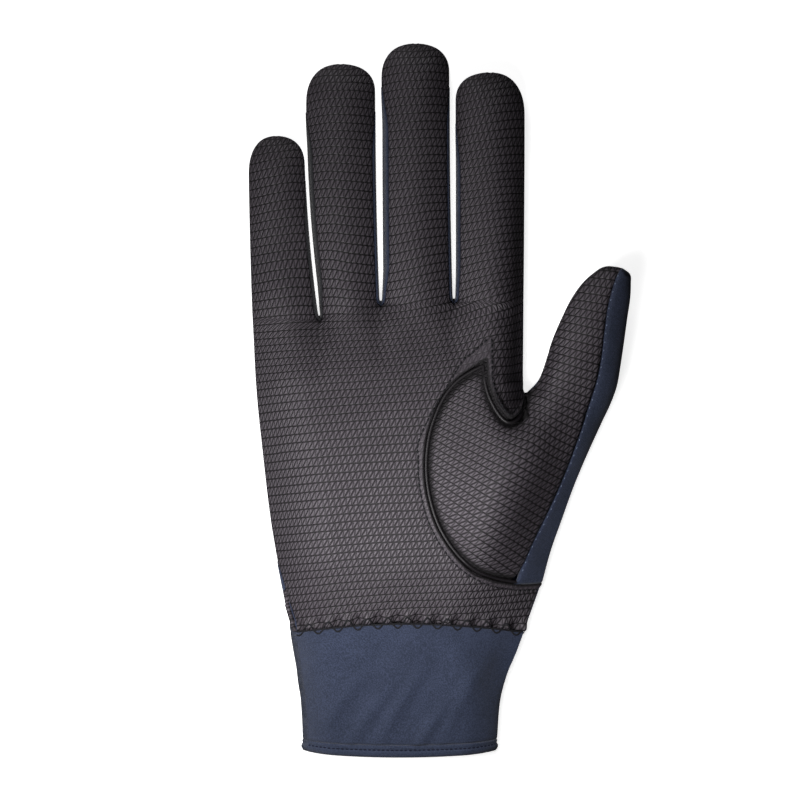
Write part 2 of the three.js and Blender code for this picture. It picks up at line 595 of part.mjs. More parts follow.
// The outer end of a row of the back: heel, then the thumb's seam up to the crotch, then the index side.
function backEnd(j) {
  if (j === 0) return wristTop.at(-1);
  if (j <= footRow) return heelRows[j].at(-1);
  if (j <= crotchRow) return mix(foot, thumbCrotch, (j - footRow) / (crotchRow - footRow));
  if (j <= apexLine) return tongue[j - crotchRow].at(-1);
  return knuckleRows[j - apexLine].at(-1);
}
function backStart(j) {
  if (j <= HEEL_ROWS) return heelRows[j][0];
  if (j <= apexLine) return besideRows[j - HEEL_ROWS][0];
  return knuckleRows[j - apexLine][0];
}
const backRows = range(apexLine + KNUCKLE_ROWS + 1).map((j) => {
  const [start, end] = [backStart(j), backEnd(j)];
  const settle = smooth((j - apexLine + 4) / (KNUCKLE_ROWS + 4));
  const rootStart = backRoot[0];
  const rootEnd = backRoot.at(-1);
  const points = evenShares.map((share, k) => {
    const rootShare = (backRoot[k].x - rootStart.x) / (rootEnd.x - rootStart.x);
    const p = mix(start, end, lerp(share, rootShare, settle));
    if (j > apexLine) p.y = lerp(lerp(apexY, apexY, share), backRoot[k].y, (j - apexLine) / KNUCKLE_ROWS);
    return p;
  });
  const side = new THREE.Vector2(leftEdge(start.y), start.y);
  const skin = points.map((p, k) => {
    if (k === 0) return above(side);
    if (k === backColumns && (j <= footRow || j > crotchRow)) return above(end);
    return below(p);
  });
  return [above(start), ...skin];
});
// Seen from below, columns run from the thumb side to the little finger.
const mirrored = (rows) => rows.map((row) => [...row].reverse());
back.grid(mirrored(backRows));
range(4).forEach((i) => {
  back.grid(mirrored(rowsOf[i].map((_, j) => fingerPlan(i, j, laneShares).map((p, k) => {
    const outer = (k === 0 && i === 0) || (k === BACK_COLUMNS && i === 3);
    return outer ? above(p) : below(p);
  }))));
});

// Strips between the fingers: down one finger, round the crotch and up the next.
const FOURCHETTES = [
  { name: "fourchette_pinky_ring", material: darkFabric },
  { name: "fourchette_ring_middle", material: fabric },
  { name: "fourchette_middle_index", material: fabric },
];
const fourchettes = FOURCHETTES.map(({ name, material }, i) => {
  const panel = new Panel(name, FABRIC_WALL, material);
  const section = (finger, j, side) => {
    const y = rowsOf[finger][j][side];
    const plan = fingerPlan(finger, j, [0, 1])[side];
    const at = fingerAt(fingers[finger], y);
    const edge = j === 0 ? crotches[i] : new THREE.Vector2(side ? at.right : at.left, y);
    const middle = new THREE.Vector3(edge.x, edge.y, FINGER_SEAM_HEIGHT);
    return [below(plan), middle, above(plan)];
  };
  const stations = (finger) =>
    range(rowsOf[finger].length).filter((j) => j === 0 || rowsOf[finger][j - 1][0] < fourchetteEnd(finger));
  const down = stations(i).reverse().map((j) => section(i, j, 1));
  const up = stations(i + 1).slice(1).map((j) => section(i + 1, j, 0));
  return panel.grid([...down, ...up]);
});

// Cuff: a tube whose points carry on from the wrist row of the palm and of the back
const wristUnder = backRows[0].slice(1, -1).reverse().map((p) => new THREE.Vector2(p.x, p.y));
const wristRing = [
  ...wristTop.map((p) => ({ p, top: true })),
  ...wristUnder.map((p) => ({ p, top: false })),
];
const HEM_TOP = CUFF_LENGTH - HEM_BAND;
function cuffRing(down) {
  return wristRing.map(({ p, top }) => {
    const share = (p.x - wristLeft) / WRIST_WIDTH;
    const [left, right] = cuffEdges(down);
    const bow = top ? HEM_BOW * (2 * share - 1) ** 2 : HEM_BOW;
    const plan = new THREE.Vector2(lerp(left, right, share), lerp(p.y, bow, down / CUFF_LENGTH) - down);
    return top ? above(plan) : below(plan);
  });
}
const cuff = new Panel("cuff_fabric", FABRIC_WALL, fabric);
const cuffRings = range(CUFF_ROWS + 1).map((j) => cuffRing(HEM_TOP * (1 - j / CUFF_ROWS)));
const closedRows = (rings) => rings.map((ring) => [...ring, ring[0]]);
cuff.grid(closedRows(cuffRings));

const hem = new Panel("cuff_hem", FABRIC_WALL * 2, fabric);
const hemRings = range(HEM_ROWS + 1).map((j) => cuffRing(CUFF_LENGTH - (HEM_BAND * j) / HEM_ROWS));
hem.grid(closedRows(hemRings));

// Thumb: leather on the palm side, fabric round the outer side and the back
const thumbLeather = new Panel("thumb_leather", LEATHER_WALL, leather);
const thumbBack = new Panel("thumb_back", FABRIC_WALL, fabric);
const openingPoints = [...longEdge.getSpacedPoints(60), ...tongueEdge.getSpacedPoints(30)];
const lapDepth = LEATHER_WALL + LAP_CLEARANCE;
function outwards(curve, t) {
  const tangent = curve.getTangentAt(t);
  return new THREE.Vector2(-tangent.y, tangent.x);
}
// The lapped edge follows the opening a little way under the palm.
const lapStart = 0.13;
const lapSide = (v) => {
  const t = lerp(lapStart, 1, v);
  return longEdge.getPointAt(t).addScaledVector(outwards(longEdge, t), THUMB_LAP);
};
const stripAt = (v) => THUMB_STRIP * read(THUMB_SIDE, "way", v, "strip");
const seamPoint = (from, to, width) => mix(from, to, 1 - width / from.distanceTo(to));
const baseVs = range(THUMB_BASE_ROWS + 1).map((j) => j / THUMB_BASE_ROWS);
const baseLeft = baseVs.map(lapSide);
const baseSide = baseVs.map(thumbSide);
const footStrip = stripAt(0) / longEdge.getLength();
const baseSeam = baseVs.map((v, j) => {
  if (v === 0) return longEdge.getPointAt(footStrip);
  const from = v === 1 ? thumbCrotch : baseLeft[j];
  return seamPoint(from, baseSide[j], Math.min(stripAt(v), from.distanceTo(baseSide[j]) * 0.8));
});
const thumbPlanColumns = LAP_COLUMNS + THUMB_COLUMNS;
const lapTop = range(LAP_COLUMNS + 1).map((k) => {
  if (k === 0) return baseLeft.at(-1);
  const t = k / LAP_COLUMNS;
  const p = tongueEdge.getPointAt(t);
  const lap = THUMB_LAP * smooth((1 - t) * 1.8);
  return k === LAP_COLUMNS ? thumbCrotch : p.addScaledVector(outwards(tongueEdge, t), lap);
});
const crossing = turned(THUMB_COLUMNS * 2);
const thumbShares = range(THUMB_COLUMNS + 1).map((k) => crossing[k] / crossing[THUMB_COLUMNS]);
const baseTop = [...lapTop, ...thumbShares.slice(1).map((s) => mix(thumbCrotch, baseSeam.at(-1), s))];
const baseBottom = range(thumbPlanColumns + 1).map((k) => mix(baseLeft[0], baseSeam[0], k / thumbPlanColumns));
const thumbBase = filled(baseBottom, baseTop, baseLeft, baseSeam);

function lapShare(p) {
  const inside = Math.min(...openingPoints.map((q) => Math.hypot(q.x - p.x, q.y - p.y)));
  return 1 - smooth(inside / LAP_FADE);
}
const lift = (p) => THUMB_LIFT * smooth(thumbAlong(p) / THUMB_LENGTH);
const raised = (place) => (p) => {
  const point = place(p);
  point.z += lift(p);
  return point;
};
const thumbTop = raised(above);
const thumbUnder = raised(below);
thumbLeather.grid(thumbBase.map((row) => row.map(thumbTop)));
const freeSeams = thumbRows.map((row) => {
  const width = row.left.distanceTo(row.right);
  return width < 0.1 ? row.left : seamPoint(row.left, row.right, Math.min(row.strip, width * 0.55));
});
freeSeams[0] = baseSeam.at(-1);
thumbLeather.grid(thumbRows.map((row, j) => thumbShares.map((s) => thumbTop(mix(row.left, freeSeams[j], s)))));

const stripShares = range(THUMB_STRIP_COLUMNS + 1).map((k) => 1 - (1 - k / THUMB_STRIP_COLUMNS) ** 1.6);
function thumbRing(seam, side, end, open, first = false) {
  const plan = (s) => (first ? longEdge.getPointAt(footStrip * (1 - s)) : mix(seam, side, s));
  const over = stripShares.map((s) => thumbTop(plan(s)));
  const under = laneShares.slice(1).map((s, k) => {
    const p = mix(side, end, s);
    return k === laneShares.length - 2 && !open ? thumbTop(p) : thumbUnder(p);
  });
  return [...over, ...under];
}
thumbBack.grid(
  baseVs.map((v, j) => {
    const end = mix(baseSide[0], thumbCrotch, v);
    return thumbRing(baseSeam[j], baseSide[j], end, v > 0 && v < 1, v === 0);
  }),
);
thumbBack.grid(thumbRows.map((row, j) => thumbRing(freeSeams[j], row.right, row.left, false)));

// Directions in which the walls have their thickness, shared where two panels meet
function shareNormals(panels) {
  const sums = new Map();
  const [ab, ac] = [new THREE.Vector3(), new THREE.Vector3()];
  for (const { points, faces } of panels)
    for (const [a, b, c] of faces) {
      ab.subVectors(points[b], points[a]);
      ac.subVectors(points[c], points[a]);
      const normal = ab.clone().cross(ac);
      for (const id of [a, b, c]) {
        const key = keyOf(points[id]);
        if (!sums.has(key)) sums.set(key, new THREE.Vector3());
        sums.get(key).add(normal);
      }
    }
  for (const panel of panels)
    panel.normals = panel.points.map((p) => sums.get(keyOf(p)).clone().normalize());
}

// Border edges of a panel, each once, running with the panel on its left.
function bordersOf(panel) {
  const edges = new Map();
  for (const [a, b, c] of panel.faces)
    for (const [from, to] of [[a, b], [b, c], [c, a]]) edges.set(`${from},${to}`, [from, to]);
  return [...edges.values()].filter(([from, to]) => !edges.has(`${to},${from}`));
}

// A closed solid from a panel: its edges drawn in by half the seam gap, its wall inwards.
function solidOf(panel) {
  const borders = bordersOf(panel);
  const inward = panel.points.map(() => []);
  for (const [from, to] of borders) {
    const along = panel.points[to].clone().sub(panel.points[from]).normalize();
    for (const id of [from, to]) inward[id].push(panel.normals[id].clone().cross(along).normalize());
  }
  const outer = panel.points.map((p, id) => {
    if (!inward[id].length) return p.clone();
    const way = inward[id].reduce((sum, v) => sum.add(v), new THREE.Vector3()).normalize();
    const reach = SEAM_GAP / 2 / Math.max(way.dot(inward[id][0]), SHARPEST_MITRE);
    const drawn = p.clone().addScaledVector(way, reach);
    return drawn.setZ(Math.max(drawn.z, 0));
  });
  const inner = outer.map((p, id) => p.clone().addScaledVector(panel.normals[id], -panel.wall));
  const count = outer.length;
  const index = [];
  for (const [a, b, c] of panel.faces) index.push(a, b, c, a + count, c + count, b + count);
  for (const [a, b] of borders) index.push(b, a, a + count, b, a + count, b + count);
  return meshOf(panel.name, [...outer, ...inner], index, panel.material);
}

function meshOf(name, points, index, material) {
  const geometry = new THREE.BufferGeometry().setFromPoints(points).setIndex(index);
  geometry.computeVertexNormals();
  const mesh = new THREE.Mesh(geometry, new THREE.MeshStandardMaterial(material));
  mesh.name = name;
  return mesh;
}

shareNormals([palm, back, cuff, hem, ...fourchettes]);
for (const [id, p] of hem.points.entries()) {
  p.addScaledVector(hem.normals[id], HEM_PROUD);
  p.z = Math.max(p.z, 0);
}
shareNormals([thumbLeather, thumbBack]);
// Near the opening the thumb lies inside the palm, so that the palm's edge laps over it.
for (const panel of [thumbLeather, thumbBack])
  panel.points.forEach((p, id) => {
    const facing = smooth(panel.normals[id].z * 2.5);
    const depth = lapDepth * lapShare(p) * facing;
    p.addScaledVector(panel.normals[id], -depth);
  });

// The welt: a cord that lies on the thumb, close inside the edge of the opening.
const weltInset = WELT_RADIUS + WELT_CLEARANCE;
function insetPoints(curve, count) {
  return range(count + 1).map((i) => {
    const t = i / count;
    return curve.getPointAt(t).addScaledVector(outwards(curve, t), -weltInset);
  });
}
const weltPath = [...insetPoints(longEdge, 90).slice(8), ...insetPoints(tongueEdge, 36).slice(0, -4)];
const clearPath = weltPath.filter((p) => Math.min(...openingPoints.map((q) => q.distanceTo(p))) > weltInset * 0.93);
const weltCurve = new THREE.SplineCurve(clearPath);
// Height of a panel's facets at a place.
function heightOn(panel, x, y) {
  for (const face of panel.faces) {
    const [a, b, c] = face.map((id) => panel.points[id]);
    const area = (b.x - a.x) * (c.y - a.y) - (c.x - a.x) * (b.y - a.y);
    const u = ((b.x - x) * (c.y - y) - (c.x - x) * (b.y - y)) / area;
    const v = ((c.x - x) * (a.y - y) - (a.x - x) * (c.y - y)) / area;
    if (u >= 0 && v >= 0 && u + v <= 1) return u * a.z + v * b.z + (1 - u - v) * c.z;
  }
  return -Infinity;
}
const weltCentres = weltCurve.getSpacedPoints(WELT_PIECES).map((p) => {
  const reach = [-1, 0, 1].map((k) => k * WELT_RADIUS);
  const heights = reach.flatMap((dx) => reach.map((dy) => heightOn(thumbLeather, p.x + dx, p.y + dy)));
  return new THREE.Vector3(p.x, p.y, Math.max(...heights) + WELT_RADIUS + SEAM_GAP);
});
function cord(name, centres, radius, sides, material) {
  const loops = centres.map((centre, i) => {
    const ahead = centres[Math.min(i + 1, centres.length - 1)];
    const way = ahead.clone().sub(centres[Math.max(i - 1, 0)]).normalize();
    const aside = new THREE.Vector3(way.y, -way.x, 0).normalize();
    const up = aside.clone().cross(way).normalize();
    return range(sides).map((k) => {
      const angle = (2 * Math.PI * k) / sides;
      const point = centre.clone().addScaledVector(aside, radius * Math.cos(angle));
      return point.addScaledVector(up, radius * Math.sin(angle));
    });
  });
  const points = [...loops.flat(), centres[0].clone(), centres.at(-1).clone()];
  const [first, last] = [loops.length * sides, loops.length * sides + 1];
  const index = [];
  range(loops.length).forEach((i) =>
    range(sides).forEach((k) => {
      const [a, b] = [i * sides + k, i * sides + ((k + 1) % sides)];
      if (i === 0) index.push(first, a, b);
      if (i === loops.length - 1) index.push(last, b, a);
      else index.push(a, b + sides, b, a, a + sides, b + sides);
    }),
  );
  return meshOf(name, points, index, material);
}

const glove = new THREE.Group();
glove.add(cord("thumb_welt", weltCentres, WELT_RADIUS, WELT_SIDES, leather));
const panels = [palm, back, ...fourchettes, cuff, hem, thumbLeather, thumbBack];
for (const panel of panels) glove.add(solidOf(panel));

// The origin is under the middle of the glove, on the surface that it lies on.
const box = new THREE.Box3().setFromObject(glove);
const middle = box.getCenter(new THREE.Vector3());
glove.position.set(-middle.x, -middle.y, -box.min.z);

export default glove;
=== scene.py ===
import math

import bmesh
import bpy
import numpy as np
from mathutils import Matrix, Vector
from mathutils.bvhtree import BVHTree
from mathutils.kdtree import KDTree


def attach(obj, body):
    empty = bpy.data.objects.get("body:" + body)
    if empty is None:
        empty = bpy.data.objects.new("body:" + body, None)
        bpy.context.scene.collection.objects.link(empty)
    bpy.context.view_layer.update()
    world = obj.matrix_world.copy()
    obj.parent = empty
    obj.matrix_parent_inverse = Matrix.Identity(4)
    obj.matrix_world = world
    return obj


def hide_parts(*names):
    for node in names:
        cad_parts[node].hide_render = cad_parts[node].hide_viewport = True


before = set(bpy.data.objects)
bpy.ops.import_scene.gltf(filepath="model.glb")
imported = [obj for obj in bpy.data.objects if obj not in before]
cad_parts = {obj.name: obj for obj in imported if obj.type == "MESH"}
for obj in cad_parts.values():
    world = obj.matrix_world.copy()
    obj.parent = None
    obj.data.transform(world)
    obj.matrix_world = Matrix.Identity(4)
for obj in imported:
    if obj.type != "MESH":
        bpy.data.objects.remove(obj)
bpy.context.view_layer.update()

# Lengths are millimetres on the glove's own plan: wrist seam at 0, +Y to the fingertips,
# +X to the thumb, +Z up from the surface that the glove lies on.
MM = 0.001
MAP_SCALE = 0.1  # millimetres to the unit of a panel's own coordinates
PLAN_ORIGIN = (16.952, 74.49)

# Walls and seams
LEATHER_WALL = 1.2
FABRIC_WALL = 1.0
EDGE_ROLL = 1.3
EDGE_DROP = 0.45

# Palm and cuff, seen from above
PALM_LENGTH = 107
WRIST_WIDTH = 78.2
WRIST_SHIFT = 6.35
HEM_WIDTH = 64.2
HEM_SHIFT = 3.9
CUFF_LENGTH = 44.3
HEM_BAND = 4.2
HEM_PROUD = 0.6
HEM_BOW = 1.6
WRIST_SEAM_RISE = 3.4
SIDE_WRAP = 2.2
SIDE_WRAP_LENGTH = 20

# Fingers
PINKY_RING_SLOT = 0.5
RING_MIDDLE_SLOT = 1.8
MIDDLE_INDEX_SLOT = 1.8
CROTCH_SLOT = 0.7
PINKY_CROTCH_DROP = 5.7
RING_CROTCH_DROP = 0.7
FLARE_LENGTH = 70
FINGER_LEAN = 0.8
CROTCH_BEND = 3.0
FOURCHETTE_HEIGHT = 6
FOURCHETTE_BULGE = 0.8
FOURCHETTE_TAPER = 16
FOURCHETTE_SHOW = (0, 1.1, 1.4, 0.5)
TIP_POWER = 2.3

# Thumb and the opening that it is set into
THUMB_LENGTH = 50.2
THUMB_WIDTH = 24
THUMB_LEAN = 18.5
THUMB_LIFT = 5
THUMB_CROTCH_DROP = 31.3
THUMB_FOOT_HEIGHT = 12.7
THUMB_FOOT_FLARE = 5.9
KEYHOLE_WIDTH = 33.5
KEYHOLE_APEX_DROP = 20.3
THUMB_STRIP = 7.5
THUMB_LAP = 2.5
LAP_DEPTH = 1.3
LAP_FADE = 9
GROOVE_DEPTH = 1.3
GROOVE_REACH = 1.7
BAND_WIDTH = 1.8
BAND_RISE = 0.6
WELT_RADIUS = 0.6

# Heights above the surface
PALM_HEIGHT = 23
CUFF_HEIGHT = 16
FINGER_HEIGHT = 15.5
THUMB_HEIGHT = 17
PALM_SEAM_HEIGHT = 8
FINGER_SEAM_HEIGHT = 6.5
PALM_ROUND = 15
UNDER_ROUND = 5.5
CROTCH_ROUND = 11.5
THUMB_CROTCH_ROUND = 14
BALL_ROUND = 27
LEFT_ROUND = 19
DOME = 0.65  # how soft the rounding of the hand is, from a quarter circle to a low arch
INDEX_SIDE_SLOPE = 1.2
INDEX_TIP_SLOPE = 1.7
INDEX_SIDE_START = 73
INDEX_SIDE_END = 148
UNTOUCHED_ABOVE = 14
SETTLE_REACH = 5  # folds and waves fade within this distance of the outline


def table(names, *rows):
    return dict(zip(names.split(), np.array(rows, float).T))


FINGERS = table(
    "width length root height tip_left tip_right",
    (18.8, 61, 1.2, 0.88, 0.7, 0.5),
    (23.4, 82.5, 0.88, 0.98, 0.56, 0.4),
    (23, 86.5, 1.06, 1.0, 0.5, 0.42),
    (23.4, 76.5, 0.99, 0.98, 0.4, 0.62),
)
PALM_SECTIONS = table(
    "along side height round",
    (0, 0, 0.7, 0.8),
    (0.08, 0.15, 0.83, 0.9),
    (0.2, 0.34, 0.97, 1.0),
    (0.35, 0.54, 1.0, 1.05),
    (0.55, 0.73, 0.95, 1.0),
    (0.75, 0.89, 0.86, 0.85),
    (1, 1.0, 0.74, 0.7),
)
CUFF_SECTIONS = table(
    "along way height",
    (0, 0, 1.0),
    (0.15, 0.22, 1.02),
    (0.35, 0.55, 1.02),
    (0.6, 0.83, 0.98),
    (1, 1, 0.94),
)
PADS = table(
    "across along spread_x spread_y rise",
    (0.4, 0.43, 0.17, 0.25, 0.13),
    (-0.3, 0.35, 0.14, 0.3, 0.02),
    (0.04, 0.52, 0.13, 0.26, -0.02),
    (-0.25, 0.88, 0.04, 0.08, -0.03),
    (-0.03, 0.88, 0.04, 0.08, -0.03),
    (0.24, 0.88, 0.04, 0.08, -0.02),
)
KEYHOLE_LONG = table(
    "inset up",
    (0.093, 0.002),
    (0.433, 0.045),
    (0.66, 0.122),
    (0.85, 0.243),
    (0.958, 0.378),
    (1.0, 0.514),
    (0.98, 0.649),
    (0.91, 0.761),
    (0.8, 0.86),
    (0.642, 0.936),
    (0.391, 1.0),
)
TONGUE = table(
    "inset up",
    (0.391, 1.0),
    (0.382, 0.927),
    (0.343, 0.851),
    (0.254, 0.774),
    (0.164, 0.738),
    (0.075, 0.757),
    (0.024, 0.8),
)
THUMB_SECTIONS = table(
    "along left right strip height",
    (0, 0.575, 0.575, 0.85, 1.0),
    (0.12, 0.455, 0.605, 0.95, 1.0),
    (0.25, 0.44, 0.61, 1.0, 1.0),
    (0.4, 0.45, 0.56, 0.98, 0.98),
    (0.55, 0.427, 0.5, 1.0, 0.95),
    (0.7, 0.385, 0.437, 1.0, 0.9),
    (0.82, 0.31, 0.39, 0.93, 0.85),
    (0.92, 0.19, 0.33, 0.75, 0.8),
    (0.98, 0.06, 0.27, 0.5, 0.76),
    (1, -0.14, 0.14, 0, 0.72),
)
THUMB_SIDE = table(
    "way out strip",
    (0, 0, 1.25),
    (0.2, 0.145, 1.05),
    (0.4, 0.335, 0.75),
    (0.6, 0.53, 0.61),
    (0.8, 0.755, 0.65),
    (1, 1, 0.85),
)

# How finely the panels are divided: columns of one finger and the rows of each block
FINGER_COLUMNS = 32
STRIP_COLUMNS = 22
HEEL_ROWS = 16
KEYHOLE_ROWS = 72
TONGUE_ROWS = 26
KNUCKLE_ROWS = 18
CROTCH_ROWS = 6
SHAFT_ROWS = 44
TIP_ROWS = 14
BACK_LANE_COLUMNS = 20
THUMB_COLUMNS = 26
LAP_COLUMNS = 20
THUMB_FREE_ROWS = 60
CUFF_ROWS = 44
HEM_ROWS = 10
EDGE_CROWDING = 1.35


def lerp(a, b, t):
    return a + (b - a) * t


def smooth(t):
    t = np.clip(t, 0, 1)
    return t * t * (3 - 2 * t)


def quarter(t):
    return np.sqrt(1 - (1 - np.clip(t, 0, 1)) ** 2)


def read(rows, key, place, column):
    """A column of a table at places between its rows, with rounded transitions."""
    x, y = rows[key], rows[column]
    place = np.clip(place, x[0], x[-1])
    i = np.clip(np.searchsorted(x, place, side="right") - 1, 0, len(x) - 2)
    before, after = np.maximum(i - 1, 0), np.minimum(i + 2, len(x) - 1)
    step = x[i + 1] - x[i]
    t = (place - x[i]) / step
    start = (y[i + 1] - y[before]) / (x[i + 1] - x[before]) * step
    end = (y[after] - y[i]) / (x[after] - x[i]) * step
    blend = lerp(y[i], y[i + 1], t * t * (3 - 2 * t))
    return blend + start * t * (1 - t) ** 2 + end * t * t * (t - 1)


def point(x, y):
    return np.stack(np.broadcast_arrays(np.asarray(x, float), y), axis=-1)


def mix(a, b, t):
    t = np.asarray(t, float)[..., None]
    return a * (1 - t) + b * t


class Line:
    """A smooth line through plan points, read at shares of its length."""

    def __init__(self, points, steps=30):
        p = np.array([points[0], *points, points[-1]], float)
        t = np.arange(steps)[:, None] / steps
        spans = []
        for a, b, c, d in zip(p, p[1:], p[2:], p[3:]):
            slope_b, slope_c = (c - a) / 2, (d - b) / 2
            cubic = (2 * b - 2 * c + slope_b + slope_c) * t**3
            square = (-3 * b + 3 * c - 2 * slope_b - slope_c) * t**2
            spans.append(cubic + square + slope_b * t + b)
        self.points = np.concatenate([*spans, p[-1:]])
        gaps = np.linalg.norm(np.diff(self.points, axis=0), axis=1)
        self.places = np.concatenate([[0], np.cumsum(gaps)])
        self.length = self.places[-1]

    def at(self, share):
        place = np.asarray(share, float) * self.length
        columns = [np.interp(place, self.places, c) for c in self.points.T]
        return np.stack(columns, axis=-1)

    def side(self, share):
        """The direction square to the line, on its left."""
        step = 0.5 / self.length
        share = np.asarray(share, float)
        way = self.at(np.minimum(share + step, 1)) - self.at(np.maximum(share - step, 0))
        way /= np.linalg.norm(way, axis=-1, keepdims=True)
        return np.stack([-way[..., 1], way[..., 0]], axis=-1)


# Plan of the knuckles and fingers
widths = FINGERS["width"]
knuckle_edges = np.concatenate([[0], np.cumsum(widths * FINGERS["root"])])
KNUCKLE_WIDTH = knuckle_edges[-1]
lanes = knuckle_edges - KNUCKLE_WIDTH / 2
INDEX_SIDE = lanes[4]
crotch_y = np.array([PALM_LENGTH - PINKY_CROTCH_DROP, PALM_LENGTH - RING_CROTCH_DROP, PALM_LENGTH])
FLARE_START = crotch_y.min()
root_left = lanes[:4] + np.array([0, 1, 1, 1]) * CROTCH_SLOT / 2
root_right = lanes[1:] - np.array([1, 1, 1, 0]) * CROTCH_SLOT / 2
root_y = np.array([crotch_y[[0, 0, 1, 2]], crotch_y[[0, 1, 2, 2]]]).T
middle_left = (lanes[2] + lanes[3] - widths[2]) / 2 - FINGER_LEAN
ring_left = middle_left - RING_MIDDLE_SLOT - widths[1]
shaft_left = np.array(
    [
        ring_left - PINKY_RING_SLOT - widths[0],
        ring_left,
        middle_left,
        middle_left + widths[2] + MIDDLE_INDEX_SLOT,
    ]
)
tip_y = root_y.mean(axis=1) + FINGERS["length"]
shoulder_y = tip_y - np.maximum(FINGERS["tip_left"], FINGERS["tip_right"]) * widths


def flare(y):
    return 1 - (1 - np.clip((y - FLARE_START) / FLARE_LENGTH, 0, 1)) ** 2


def finger_edges(i, y):
    left = lerp(root_left[i], shaft_left[i], flare(y))
    right = lerp(root_right[i], shaft_left[i] + widths[i], flare(y))
    return left, right


def slot_x(i, y):
    """Middle of the slot between finger i and the next one."""
    return (finger_edges(i, y)[1] + finger_edges(i + 1, y)[0]) / 2


crotches = np.array([(slot_x(i, crotch_y[i]), crotch_y[i]) for i in range(3)])


def tip_share(i, y, shoulder):
    reach = shoulder * widths[i]
    t = np.clip((y - tip_y[i] + reach) / reach, 0, 1)
    return (1 - t**TIP_POWER) ** (1 / TIP_POWER)


def finger_outline(i, y, side):
    """x of a finger's left (0) or right (1) edge at y, rounded into its crotch."""
    left, right = finger_edges(i, y)
    centre, half = (left + right) / 2, (right - left) / 2
    key = ("tip_left", "tip_right")[side]
    edge = centre + (2 * side - 1) * half * tip_share(i, y, FINGERS[key][i])
    slot = i - 1 + side
    if 0 <= slot <= 2:
        bend = quarter((y - crotch_y[slot]) / CROTCH_BEND)
        edge = lerp(slot_x(slot, y), edge, bend)
    return edge


def fourchette_open(i, y):
    end = shoulder_y[i] - FOURCHETTE_TAPER / 8
    return smooth((end - y) / FOURCHETTE_TAPER)


def strip_show(i, y):
    """How far the leather on a finger's left stays back, so that the strip shows."""
    return FOURCHETTE_SHOW[i] * smooth((y - crotch_y[i - 1] - 1) / 12) * fourchette_open(i, y)


def seam_edge(i, y, side, top=False):
    """x of the seam between a finger's leather and the strip beside it."""
    edge = finger_outline(i, y, side)
    slot = i - 1 + side
    if not 0 <= slot <= 2:
        return edge
    bend = quarter((y - crotch_y[slot] + FOURCHETTE_BULGE) / CROTCH_BEND)
    straight = finger_edges(i, y)[side] if i >= 0 else edge
    full = np.where(y < shoulder_y[i], straight, edge)
    tuck = FOURCHETTE_BULGE * fourchette_open(i, y) * (1 - 2 * side)
    if top and side == 0:
        tuck = tuck + strip_show(i, y)
    return lerp(slot_x(slot, y), full + tuck, bend)


def finger_rows(i):
    """y of each row of a finger, on its left and on its right edge."""
    start = np.array([root_y[i][s] - (FOURCHETTE_BULGE if 0 <= i - 1 + s <= 2 else 0) for s in (0, 1)])
    bend = CROTCH_BEND * (1 - np.cos(np.arange(CROTCH_ROWS) / CROTCH_ROWS * math.pi / 2))
    low = start[None] + bend[:, None]
    shaft_start = start + CROTCH_BEND
    shares = np.arange(SHAFT_ROWS)[:, None] / SHAFT_ROWS
    shaft = lerp(shaft_start[None], shoulder_y[i], shares)
    t = np.arange(TIP_ROWS + 1) / TIP_ROWS
    tip = lerp(shoulder_y[i], tip_y[i], np.sin(t * math.pi / 2) ** (2 / TIP_POWER))
    return np.concatenate([low, shaft, np.stack([tip, tip], axis=1)])


rows_of = [finger_rows(i) for i in range(4)]

# Plan of the palm's sides and of the cuff
wrist_left = WRIST_SHIFT - WRIST_WIDTH / 2
wrist_right = WRIST_SHIFT + WRIST_WIDTH / 2
foot = np.array([wrist_right + THUMB_FOOT_FLARE, THUMB_FOOT_HEIGHT])
thumb_crotch = np.array([INDEX_SIDE, PALM_LENGTH - THUMB_CROTCH_DROP])


def left_edge(y):
    return lerp(wrist_left, lanes[0], read(PALM_SECTIONS, "along", y / FLARE_START, "side"))


def heel_edge(y):
    return lerp(wrist_right, foot[0], (y + WRIST_SEAM_RISE) / (foot[1] + WRIST_SEAM_RISE))


def left_wrap(y):
    return SIDE_WRAP * np.clip(1 - y / SIDE_WRAP_LENGTH, 0, 1)


def row_start(y):
    return point(left_edge(y) + left_wrap(y), y)


def cuff_edges(down):
    way = read(CUFF_SECTIONS, "along", down / CUFF_LENGTH, "way")
    half = lerp(WRIST_WIDTH, HEM_WIDTH, way) / 2
    centre = lerp(WRIST_SHIFT, HEM_SHIFT, way)
    return centre - half, centre + half


# Plan of the thumb
lean = math.radians(THUMB_LEAN)
thumb_up = np.array([math.sin(lean), math.cos(lean)])
thumb_out = np.array([math.cos(lean), -math.sin(lean)])
thumb_root = thumb_crotch + thumb_out * THUMB_SECTIONS["left"][0] * THUMB_WIDTH


def thumb_along(p):
    return (p - thumb_root) @ thumb_up


def thumb_rows(share):
    """Left edge, right edge and strip width of the free thumb at shares of its length."""
    share = np.asarray(share, float)
    columns = [read(THUMB_SECTIONS, "along", share, c) for c in ("left", "right", "strip")]
    left, right, strip = [c[..., None] for c in columns]
    base = thumb_root + thumb_up * share[..., None] * THUMB_LENGTH
    ends = base - thumb_out * left * THUMB_WIDTH, base + thumb_out * right * THUMB_WIDTH
    return ends[0], ends[1], strip[..., 0] * THUMB_STRIP


thumb_shoulder = thumb_rows(0.0)[1]


def thumb_side(way):
    out = read(THUMB_SIDE, "way", way, "out")
    return point(lerp(foot[0], thumb_shoulder[0], out), lerp(foot[1], thumb_shoulder[1], way))


# The edge of the thumb opening
apex_y = PALM_LENGTH - KEYHOLE_APEX_DROP


def keyhole_points(rows):
    return point(INDEX_SIDE - rows["inset"] * KEYHOLE_WIDTH, lerp(foot[1], apex_y, rows["up"]))


